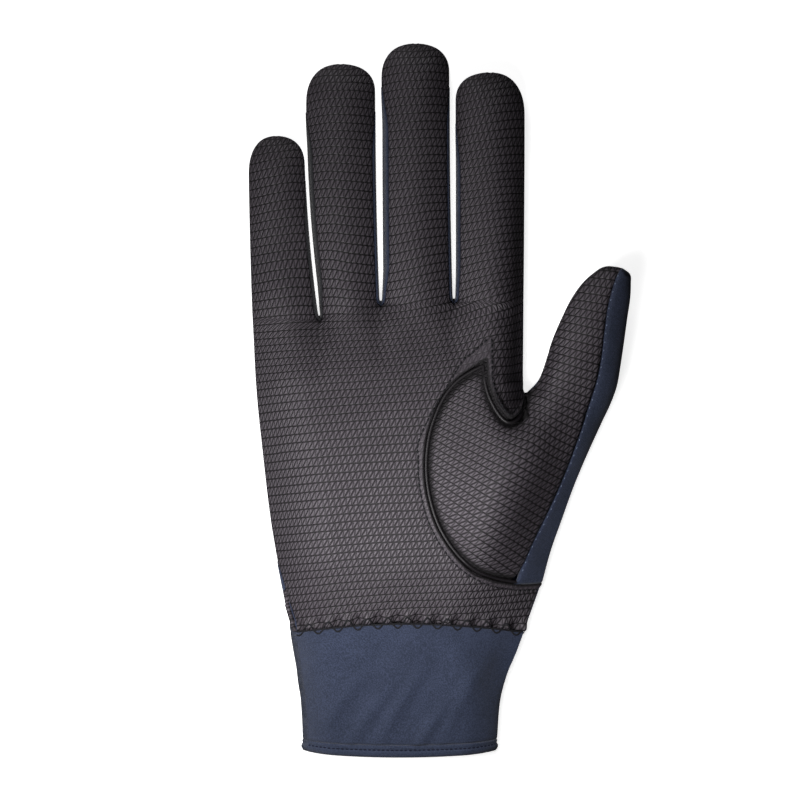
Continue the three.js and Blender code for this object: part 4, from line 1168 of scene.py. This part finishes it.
def tube(name, downs):
    rings = np.array([cuff_ring(down) for down in downs])
    panel = Panel(name)
    panel.grid(rings, np.stack([round_ring(rings), rings[..., 1]], axis=2))
    return panel.join()


def cuff_relief(p):
    return folds(p, CUFF_FOLDS) + 0.22 * ripples(p, 14, 2)


HEM_TOP = CUFF_LENGTH - HEM_BAND
cuff = tube("cuff", np.linspace(HEM_TOP + 0.3, 0, CUFF_ROWS + 1))
cuff.press(cuff_relief).roll_edges(reach=1.2, drop=0.35)
cuff_piece = cuff.finish(FABRIC_WALL, "cuff_fabric")
hem = tube("hem", np.linspace(CUFF_LENGTH, HEM_TOP, HEM_ROWS + 1))


def hem_relief(p):
    share = (p[:, 0] - lerp(WRIST_SHIFT, HEM_SHIFT, 1)) / (HEM_WIDTH / 2)
    down = -p[:, 1] + HEM_BOW * share**2
    stitched = -0.55 * np.exp(-(((down - CUFF_LENGTH + HEM_BAND * 0.62) / 0.45) ** 2))
    return HEM_PROUD + stitched


hem.press(hem_relief).roll_edges(reach=1.6, drop=0.7)
hem_piece = hem.finish(FABRIC_WALL * 2, "cuff_hem")

# Thumb: leather on the palm side, fabric round its outer side
LAP_START = 0.13
BASE_ROWS = CROTCH_ROW - HEEL_ROWS
base_v = np.linspace(0, 1, BASE_ROWS + 1)
lap_t = lerp(LAP_START, 1, base_v)
base_left = long_edge.at(lap_t) + long_edge.side(lap_t) * THUMB_LAP
base_side = thumb_side(base_v)
strip_width = THUMB_STRIP * read(THUMB_SIDE, "way", base_v, "strip")
foot_share = strip_width[0] / long_edge.length


def seam_point(start, end, width):
    gap = np.maximum(np.linalg.norm(end - start, axis=-1), 1e-6)
    return mix(start, end, 1 - width / gap)


seam_from = base_left.copy()
seam_from[-1] = thumb_crotch
seam_gap = np.linalg.norm(base_side - seam_from, axis=1)
base_seam = seam_point(seam_from, base_side, np.minimum(strip_width, seam_gap * 0.8))
base_seam[0] = long_edge.at(foot_share)
lap_k = np.arange(1, LAP_COLUMNS) / LAP_COLUMNS
lap_reach = (THUMB_LAP * smooth((1 - lap_k) * 1.8))[:, None]
lap_line = tongue_edge.at(lap_k) + tongue_edge.side(lap_k) * lap_reach
half_turn = turned(THUMB_COLUMNS * 2)
thumb_columns = half_turn[: THUMB_COLUMNS + 1] / half_turn[THUMB_COLUMNS]
base_top = np.concatenate(
    [
        base_left[-1:],
        lap_line,
        mix(thumb_crotch, base_seam[-1], thumb_columns),
    ]
)
base_bottom = mix(base_left[0], base_seam[0], np.linspace(0, 1, len(base_top)))
base_plan = unfolded(filled(base_bottom, base_top, base_left, base_seam))


def thumb_lift(points):
    points[..., 2] += THUMB_LIFT * smooth(thumb_along(points[..., :2]) / THUMB_LENGTH)
    return points


free_v = 1 - (1 - np.arange(THUMB_FREE_ROWS + 1) / THUMB_FREE_ROWS) ** 1.7
free_left, free_right, free_strip = thumb_rows(free_v)
free_left[0] = thumb_crotch
free_gap = np.linalg.norm(free_right - free_left, axis=1)
free_seam = seam_point(free_left, free_right, np.minimum(free_strip, free_gap * 0.55))
free_seam[0] = base_seam[-1]
free_plan = mix(free_left[:, None], free_seam[:, None], thumb_columns[None])

# The thumb's rows of cells fan out from a far centre
THUMB_ROW_TURN = math.radians(-30.4)
THUMB_ROW_RADIUS = 191
THUMB_ROW_PITCH = 2.6
THUMB_ROW_START = np.array([34.0, 45.0])


def thumb_grain(points):
    way = np.array([math.cos(THUMB_ROW_TURN), math.sin(THUMB_ROW_TURN)])
    spread = points[..., :2] - THUMB_ROW_START + way * THUMB_ROW_RADIUS
    u = np.linalg.norm(spread, axis=2) - THUMB_ROW_RADIUS
    v = np.arctan2(spread[..., 1], spread[..., 0]) * THUMB_ROW_RADIUS / THUMB_ROW_PITCH
    return np.stack([u, v], axis=2)


def lap_press(p):
    gap = opening_distance(p)
    to_crotch = np.linalg.norm(p - thumb_crotch, axis=1)
    sunk = LAP_DEPTH * (1 - smooth(gap / LAP_FADE)) + GROOVE_DEPTH * np.exp(-((gap / GROOVE_REACH) ** 2))
    return -sunk * smooth(to_crotch / 8)


def thumb_relief(p):
    return (folds(p, FOLDS) + 0.3 * ripples(p, 22, 7)) * settled(p)


thumb_front = Panel("thumb_front")
for plan in (base_plan, free_plan):
    skin = thumb_lift(above(plan))
    thumb_front.grid(skin, thumb_grain(skin))
thumb_front.join().seams(opening_distance, opening_distance)
thumb_front.relax(6).press(thumb_relief).roll_edges(reach=1.1, drop=0.4).press(lap_press)
thumb_front_piece = thumb_front.finish(LEATHER_WALL, "thumb_leather")

strip_steps = 1 - (1 - np.linspace(0, 1, 12)) ** 1.6


def thumb_wrap(seams, sides, ends, first_row=None):
    over_plan = mix(seams[:, None], sides[:, None], strip_steps[None])
    if first_row is not None:
        over_plan[0] = first_row
    over = thumb_lift(above(over_plan))
    under = thumb_lift(below(mix(sides[:, None], ends[:, None], lane_shares[None, 1:])))
    return over, under


under_ends = mix(foot, thumb_crotch, base_v)
foot_line = long_edge.at(foot_share * (1 - strip_steps))
over, under = thumb_wrap(base_seam, base_side, under_ends, foot_line)
under[[0, -1], -1] = thumb_lift(above(under_ends[[0, -1]][:, None]))[:, 0]
base_wrap = np.concatenate([over, under], axis=1)
over, under = thumb_wrap(free_seam, free_right, free_left)
under[:, -1] = thumb_lift(above(free_left[:, None]))[:, 0]
free_wrap = np.concatenate([over, under], axis=1)
thumb_side_panel = Panel("thumb_side")
thumb_side_panel.grid(base_wrap, plain_grain(base_wrap)).grid(free_wrap, plain_grain(free_wrap))
thumb_side_panel.join().relax(2).roll_edges(reach=1.0, drop=0.35)
thumb_side_piece = thumb_side_panel.finish(FABRIC_WALL, "thumb_back")


# Threads and cords: how far apart the stitches are, how long and how thick
KEYHOLE_STITCH = (1.85, 1.35, 0.33)
HEM_STITCH = (1.5, 1.15, 0.27)
THUMB_STITCH = (2.8, 0.6, 0.14)
ZIGZAG_RADIUS = 0.27
EDGE_THREAD_RADIUS = 0.3
WELT_SINK = 1.0


def surface_of(piece):
    """A way to drop plan points onto a finished piece."""
    tree = BVHTree.FromPolygons(
        [v.co / MM for v in piece.data.vertices],
        [f.vertices[:] for f in piece.data.polygons],
    )

    def dropped(plan, lift=0.0):
        path = []
        for x, y in plan:
            top = Vector((x - PLAN_ORIGIN[0], y - PLAN_ORIGIN[1], 80))
            hit = tree.ray_cast(top, Vector((0, 0, -1)))[0]
            if hit is not None:
                path.append((x, y, hit.z + lift))
        return np.array(path)

    return dropped


on_palm, on_side, on_cuff = [surface_of(p) for p in (palm_piece, thumb_side_piece, cuff_piece)]


def swept(name, path, radius, nodes=(), sides=3):
    """A round thread or cord along a line of points."""
    curve = bpy.data.curves.new(name, "CURVE")
    curve.dimensions = "3D"
    spline = curve.splines.new("POLY")
    spline.points.add(len(path) - 1)
    for place, p in zip(spline.points, path):
        place.co = (*p, 1)
    curve.bevel_depth = radius
    curve.bevel_resolution = sides
    curve.use_fill_caps = True
    holder = bpy.data.objects.new(name, curve)
    bpy.context.scene.collection.objects.link(holder)
    shape = holder.evaluated_get(bpy.context.evaluated_depsgraph_get())
    bm = bmesh.new()
    bm.from_mesh(shape.to_mesh())
    bpy.data.objects.remove(holder)
    return piece_of(name, bm, nodes)


def stitches(bm, path, pitch, length, radius):
    """Single stitches laid end to end along a line of points."""
    gaps = np.linalg.norm(np.diff(path, axis=0), axis=1)
    places = np.concatenate([[0], np.cumsum(gaps)])
    for place in np.arange(pitch / 2, places[-1], pitch):
        spot = Vector([np.interp(place, places, c) for c in path.T])
        ahead = Vector([np.interp(place + 0.4, places, c) for c in path.T])
        turn = (ahead - spot).to_track_quat("Z", "Y").to_matrix().to_4x4()
        shape = Matrix.Diagonal((radius, radius, length / 2, 1))
        bmesh.ops.create_uvsphere(
            bm,
            u_segments=6,
            v_segments=6,
            radius=1,
            matrix=Matrix.Translation(spot) @ turn @ shape,
        )


welt_t = np.linspace(0.05, 1, 110)
tongue_t = np.linspace(0, 0.96, 50)
inset = WELT_RADIUS + 0.15
welt_plan = np.concatenate(
    [
        long_edge.at(welt_t) - long_edge.side(welt_t) * inset,
        tongue_edge.at(tongue_t) - tongue_edge.side(tongue_t) * inset,
    ]
)
welt_plan = welt_plan[opening_distance(welt_plan) > inset * 0.85]
welt_path = above(welt_plan[None])[0]
welt_path[:, 2] -= WELT_SINK
welt_piece = swept("welt", Line(welt_path).at(np.linspace(0, 1, 220)), WELT_RADIUS, ["thumb_welt"])

thread = bmesh.new()
for line in stitch_lines:
    path = on_palm(line.at(np.linspace(0.01, 0.99, 160)), 0.08)
    stitches(thread, path, *KEYHOLE_STITCH)
keyhole_stitch = piece_of("keyhole_stitch", thread)

zig_x = np.arange(wrist_left + 2.6, wrist_right - 1.0, 0.22)
zig_seam = wrist_point(zig_x)
phase = np.cos(zig_x / ZIGZAG_PITCH * math.tau)
zig_y = zig_seam[:, 1] + np.where(phase > 0, phase * ZIGZAG_UP, phase * ZIGZAG_DOWN)
zig_plan = point(zig_x, zig_y)
zig_path = []
for spot in zig_plan:
    heights = [drop([spot])[:, 2] for drop in (on_palm, on_cuff) if len(drop([spot]))]
    if heights:
        zig_path.append((*spot, max(heights)[0] + 0.1))
zig_path = np.array(zig_path)
zigzag = swept("wrist_zigzag", zig_path, ZIGZAG_RADIUS)
edge_path = above(zig_seam[None])[0]
edge_path[:, 2] -= 0.2
edge_thread = swept("wrist_edge_thread", edge_path, EDGE_THREAD_RADIUS)

hem_bm = bmesh.new()
hem_ring = cuff_ring(CUFF_LENGTH - HEM_BAND * 0.6)
hem_top_points = hem_ring[: len(wrist_top)].copy()
hem_top_points[:, 2] += HEM_PROUD - 0.3
stitches(hem_bm, hem_top_points, *HEM_STITCH)
hem_stitch = piece_of("hem_stitch", hem_bm)

side_bm = bmesh.new()
seam_line = np.concatenate([base_seam[4:], free_seam[1:-4]])
side_path = on_side(seam_line + (0.42, 0), 0.1)
stitches(side_bm, side_path, *THUMB_STITCH)
thumb_stitch = piece_of("thumb_seam_stitch", side_bm)


# Materials
class Value:
    """A number that changes over the surface, written as a sum."""

    def __init__(self, tree, socket):
        self.tree = tree
        self.socket = socket

    def math(self, operation, *others):
        node = self.tree.nodes.new("ShaderNodeMath")
        node.operation = operation
        for slot, value in zip(node.inputs, (self, *others)):
            feed(self.tree, slot, value)
        return Value(self.tree, node.outputs[0])

    def __add__(self, other):
        return self.math("ADD", other)

    __radd__ = __add__

    def __mul__(self, other):
        return self.math("MULTIPLY", other)

    __rmul__ = __mul__

    def __sub__(self, other):
        return self.math("SUBTRACT", other)

    def __rsub__(self, other):
        return self * -1 + other

    def __truediv__(self, other):
        return self.math("DIVIDE", other)

    def fract(self):
        return self.math("FRACT")

    def floor(self):
        return self.math("FLOOR")

    def size(self):
        return self.math("ABSOLUTE")

    def sine(self):
        return self.math("SINE")


def feed(tree, slot, value):
    """Links a value to a socket, or sets the socket to a number or colour."""
    if isinstance(value, Value):
        tree.links.new(value.socket, slot)
    else:
        slot.default_value = value


class Finish:
    """One material and the nodes that make it."""

    def __init__(self, name):
        self.material = bpy.data.materials.new(name)
        self.material.use_nodes = True
        self.tree = self.material.node_tree
        self.shader = self.tree.nodes["Principled BSDF"]

    def node(self, kind, settings=None, **inputs):
        node = self.tree.nodes.new(kind)
        for key, value in (settings or {}).items():
            setattr(node, key, value)
        for key, value in inputs.items():
            feed(self.tree, node.inputs[key.replace("_", " ")], value)
        return node

    def value(self, node, output=0):
        return Value(self.tree, node.outputs[output])

    def mapped(self, name):
        """The panel's own pair of coordinates of that name, in millimetres."""
        split = self.node("ShaderNodeSeparateXYZ")
        source = self.node("ShaderNodeUVMap", {"uv_map": name})
        self.tree.links.new(source.outputs[0], split.inputs[0])
        return self.value(split, 0) * (1 / MAP_SCALE), self.value(split, 1) * (1 / MAP_SCALE)

    def place(self):
        return self.value(self.node("ShaderNodeTexCoord"), "Object")

    def noise(self, scale, detail=2.0, roughness=0.5):
        node = self.node(
            "ShaderNodeTexNoise",
            Vector=self.place(),
            Scale=scale,
            Detail=detail,
            Roughness=roughness,
        )
        return self.value(node, "Fac" if "Fac" in node.outputs else 0)

    def ramp(self, value, low, high, start=0.0, end=1.0):
        node = self.node("ShaderNodeMapRange", {"interpolation_type": "SMOOTHSTEP"})
        for slot, number in zip(node.inputs, (value, low, high, start, end)):
            feed(self.tree, slot, number)
        return self.value(node)

    def tone(self, mask, dark, light):
        node = self.node("ShaderNodeMix", {"data_type": "RGBA"})
        self.tree.links.new(mask.socket, node.inputs[0])
        colours = [s for s in node.inputs if s.type == "RGBA"]
        for slot, colour in zip(colours, (dark, light)):
            feed(self.tree, slot, colour if isinstance(colour, Value) else (*colour, 1))
        output = [s for s in node.outputs if s.type == "RGBA"][0]
        return Value(self.tree, output)

    def relief(self, height, depth, strength=1.0):
        bump = self.node("ShaderNodeBump", Strength=strength, Distance=depth)
        self.tree.links.new(height.socket, bump.inputs["Height"])
        self.tree.links.new(bump.outputs[0], self.shader.inputs["Normal"])
        return self

    def surface(self, **inputs):
        for key, value in inputs.items():
            feed(self.tree, self.shader.inputs[key.replace("_", " ")], value)
        return self


CELL_WIDTH = 1.9
CELL_HEIGHT = 2.7
CELL_SHIFT = 0.387
SLASH = math.radians(63)


def grip_leather(name, banded):
    """Dark leather pressed with rows of small cells, each cut in two by a slanting groove; the colour
    also holds painted shade in the grooves, along the stitches and by the thumb opening.
    """
    finish = Finish(name)
    across, rows = finish.mapped("grain")
    from_edge, from_stitch = finish.mapped("seam")
    warp = finish.noise(140, 2.0) - 0.5
    across = across + warp * 0.35
    rows = rows + warp * 0.12
    in_row = rows.fract() - 0.5
    in_cell = (across / CELL_WIDTH + rows.floor() * CELL_SHIFT - in_row * 0.16).fract() - 0.5
    x, y = in_cell * CELL_WIDTH, in_row * CELL_HEIGHT
    to_row = CELL_HEIGHT / 2 - y.size()
    to_side = CELL_WIDTH / 2 - x.size()
    to_slash = (x * math.sin(SLASH) - y * math.cos(SLASH)).size()
    in_rows = finish.ramp(to_row, 0.0, 0.38)
    in_sides = finish.ramp(to_side, -0.05, 0.4)
    off_slash = finish.ramp(to_slash, 0.02, 0.45)
    cells = in_rows * (in_sides * 0.75 + 0.25) * (off_slash * 0.95 + 0.05)
    if banded:
        # Painted shade: the colour goes towards near black along the line of stitches and within about
        # 0.9 mm of the palm's edge at the thumb opening.
        groove = finish.ramp(from_stitch.size(), 0.05, 0.4, 0.45, 1.0)
        plain = finish.ramp(from_stitch, -0.3, 0.1, 0.5, 0.0)
        raised = cells * (1 - plain) + plain * 0.7
        dark = groove * finish.ramp(from_edge, 0.25, 0.9)
    else:
        raised = cells
        # Painted shadow on the thumb leather beside the opening: near black within 1.7 mm of its edge,
        # fading out by 3.6 mm.
        dark = finish.ramp(from_edge, 1.7, 3.6)
    fine = finish.noise(2600, 3.0, 0.6)
    cloudy = finish.noise(60, 3.0)
    height = raised + fine * 0.12
    tops = finish.tone(cloudy, (0.048, 0.041, 0.049), (0.066, 0.057, 0.067))
    # The cells' grooves and slanting cuts are near black in the colour: painted shade in these recesses,
    # on top of their real relief in the bump. The dark mask adds the painted shade by the seams.
    colour = finish.tone(raised * (dark * 0.9 + 0.1), (0.003, 0.0025, 0.003), tops)
    roughness = 0.6 - raised * 0.12 + (fine - 0.5) * 0.12 + (1 - dark) * 0.3
    finish.relief(height, 0.0003, 0.8)
    return finish.surface(
        Base_Color=colour,
        Roughness=roughness,
        Specular_IOR_Level=0.22,
    ).material


def smooth_leather(name, colour):
    finish = Finish(name)
    fine = finish.noise(1500, 3.0, 0.6)
    worn = finish.noise(220, 3.0)
    shade = finish.tone(worn, colour, tuple(c * 1.7 for c in colour))
    finish.relief(fine + worn * 0.4, 0.00012, 0.6)
    return finish.surface(
        Base_Color=shade,
        Roughness=0.5 + (fine - 0.5) * 0.15,
        Specular_IOR_Level=0.3,
    ).material


def stretch_fabric(name, dark, light):
    """Fine stretch cloth: tiny slanting ribs, a little uneven in tone."""
    finish = Finish(name)
    across, up = finish.mapped("grain")
    rib = ((across + up) * (math.tau / 0.42)).sine() * 0.5 + 0.5
    cross = ((across - up * 0.6) * (math.tau / 0.55)).sine() * 0.5 + 0.5
    knit = rib * 0.6 + cross * 0.4
    fine = finish.noise(2300, 1.0, 0.6)
    cloudy = finish.noise(70, 3.0)
    tone = finish.ramp(knit * 0.1 + fine * 0.9 + cloudy * 0.25, 0.4, 0.9)
    finish.relief(knit + fine * 1.2, 0.00012, 0.8)
    return finish.surface(
        Base_Color=finish.tone(tone, dark, light),
        Roughness=0.78 + (fine - 0.5) * 0.15,
        Specular_IOR_Level=0.25,
        Sheen_Weight=0.1,
        Sheen_Roughness=0.5,
    ).material


def thread_finish(name, colour):
    finish = Finish(name)
    twist = finish.noise(3000, 2.0)
    finish.relief(twist, 0.00008, 0.6)
    shade = finish.tone(twist, colour, tuple(c * 2.0 for c in colour))
    return finish.surface(Base_Color=shade, Roughness=0.8, Specular_IOR_Level=0.1).material


leather = grip_leather("palm_grip_leather", banded=True)
thumb_leather = grip_leather("thumb_grip_leather", banded=False)
navy = stretch_fabric("navy_fabric", (0.007, 0.0115, 0.026), (0.025, 0.033, 0.064))
# Near-black cloth for the strip in the narrow pinky–ring slot: painted shade standing in for the deep
# shade there, as the other strips are navy.
painted_shade_fabric = stretch_fabric("black_fabric", (0.008, 0.008, 0.010), (0.016, 0.016, 0.019))
piping = smooth_leather("welt_leather", (0.006, 0.005, 0.006))
black_thread = thread_finish("black_thread", (0.006, 0.006, 0.007))
navy_thread = thread_finish("navy_thread", (0.005, 0.006, 0.012))
pale_thread = thread_finish("pale_thread", (0.10, 0.12, 0.17))

for piece, material, slot in (
    (palm_piece, leather, "grip_leather"),
    (thumb_front_piece, thumb_leather, "grip_leather"),
    (back_piece, navy, "stretch_fabric"),
    (thumb_side_piece, navy, "stretch_fabric"),
    (cuff_piece, navy, "stretch_fabric"),
    (hem_piece, navy, "stretch_fabric"),
    # The pinky–ring strip takes the near-black cloth as painted shade.
    (fourchettes[0], painted_shade_fabric, "black_fabric"),
    (fourchettes[1], navy, "stretch_fabric"),
    (fourchettes[2], navy, "stretch_fabric"),
    (welt_piece, piping, "welt_leather"),
    (keyhole_stitch, black_thread, "welt_leather"),
    (zigzag, black_thread, "black_fabric"),
    (edge_thread, black_thread, "black_fabric"),
    (hem_stitch, navy_thread, "stretch_fabric"),
    (thumb_stitch, pale_thread, "stretch_fabric"),
):
    piece.data.materials.append(material)

# Floor, light and camera
floor_mesh = bpy.data.meshes.new("floor")
floor_bm = bmesh.new()
bmesh.ops.create_grid(floor_bm, x_segments=1, y_segments=1, size=3)
floor_bm.to_mesh(floor_mesh)
floor_bm.free()
floor = bpy.data.objects.new("floor", floor_mesh)
bpy.context.scene.collection.objects.link(floor)
pale = Finish("floor").surface(
    Base_Color=(0.92, 0.92, 0.92, 1),
    Roughness=0.9,
    Emission_Color=(1, 1, 1, 1),
    Emission_Strength=0.8,
)
floor_mesh.materials.append(pale.material)
floor.visible_glossy = False
floor.visible_diffuse = False

world = bpy.data.worlds.new("studio")
bpy.context.scene.world = world
world.use_nodes = True
world.node_tree.nodes["Background"].inputs["Color"].default_value = (1, 1, 1, 1)
world.node_tree.nodes["Background"].inputs["Strength"].default_value = 0.035
bpy.context.scene.view_settings.view_transform = "Standard"


def softbox(name, place, target, size, power):
    light = bpy.data.lights.new(name, "AREA")
    light.shape = "RECTANGLE"
    light.size, light.size_y = size
    light.energy = power
    lamp = bpy.data.objects.new(name, light)
    bpy.context.scene.collection.objects.link(lamp)
    lamp.location = place
    way = Vector(target) - Vector(place)
    lamp.rotation_euler = way.to_track_quat("-Z", "Y").to_euler()


softbox("key", (-0.035, -0.055, 0.14), (0, -0.02, 0.01), (0.1, 0.1), 0.42)
softbox("low_left", (-0.25, -0.09, 0.1), (0, -0.02, 0.01), (0.1, 0.1), 0.38)
softbox("far_end", (-0.08, 0.26, 0.07), (0, 0.05, 0.01), (0.1, 0.1), 0.2)

FRAME_WIDTH = 0.8 / 3
SENSOR = 36
LENS = 120
SEAM_LEVEL = 0.008
VIEW_CENTRE = (-0.0129, -0.0005)
view = bpy.data.cameras.new("camera")
view.lens = LENS
view.sensor_width = SENSOR
view.clip_start = 0.01
camera = bpy.data.objects.new("camera", view)
bpy.context.scene.collection.objects.link(camera)
camera.location = (*VIEW_CENTRE, FRAME_WIDTH * LENS / SENSOR + SEAM_LEVEL)
bpy.context.scene.camera = camera
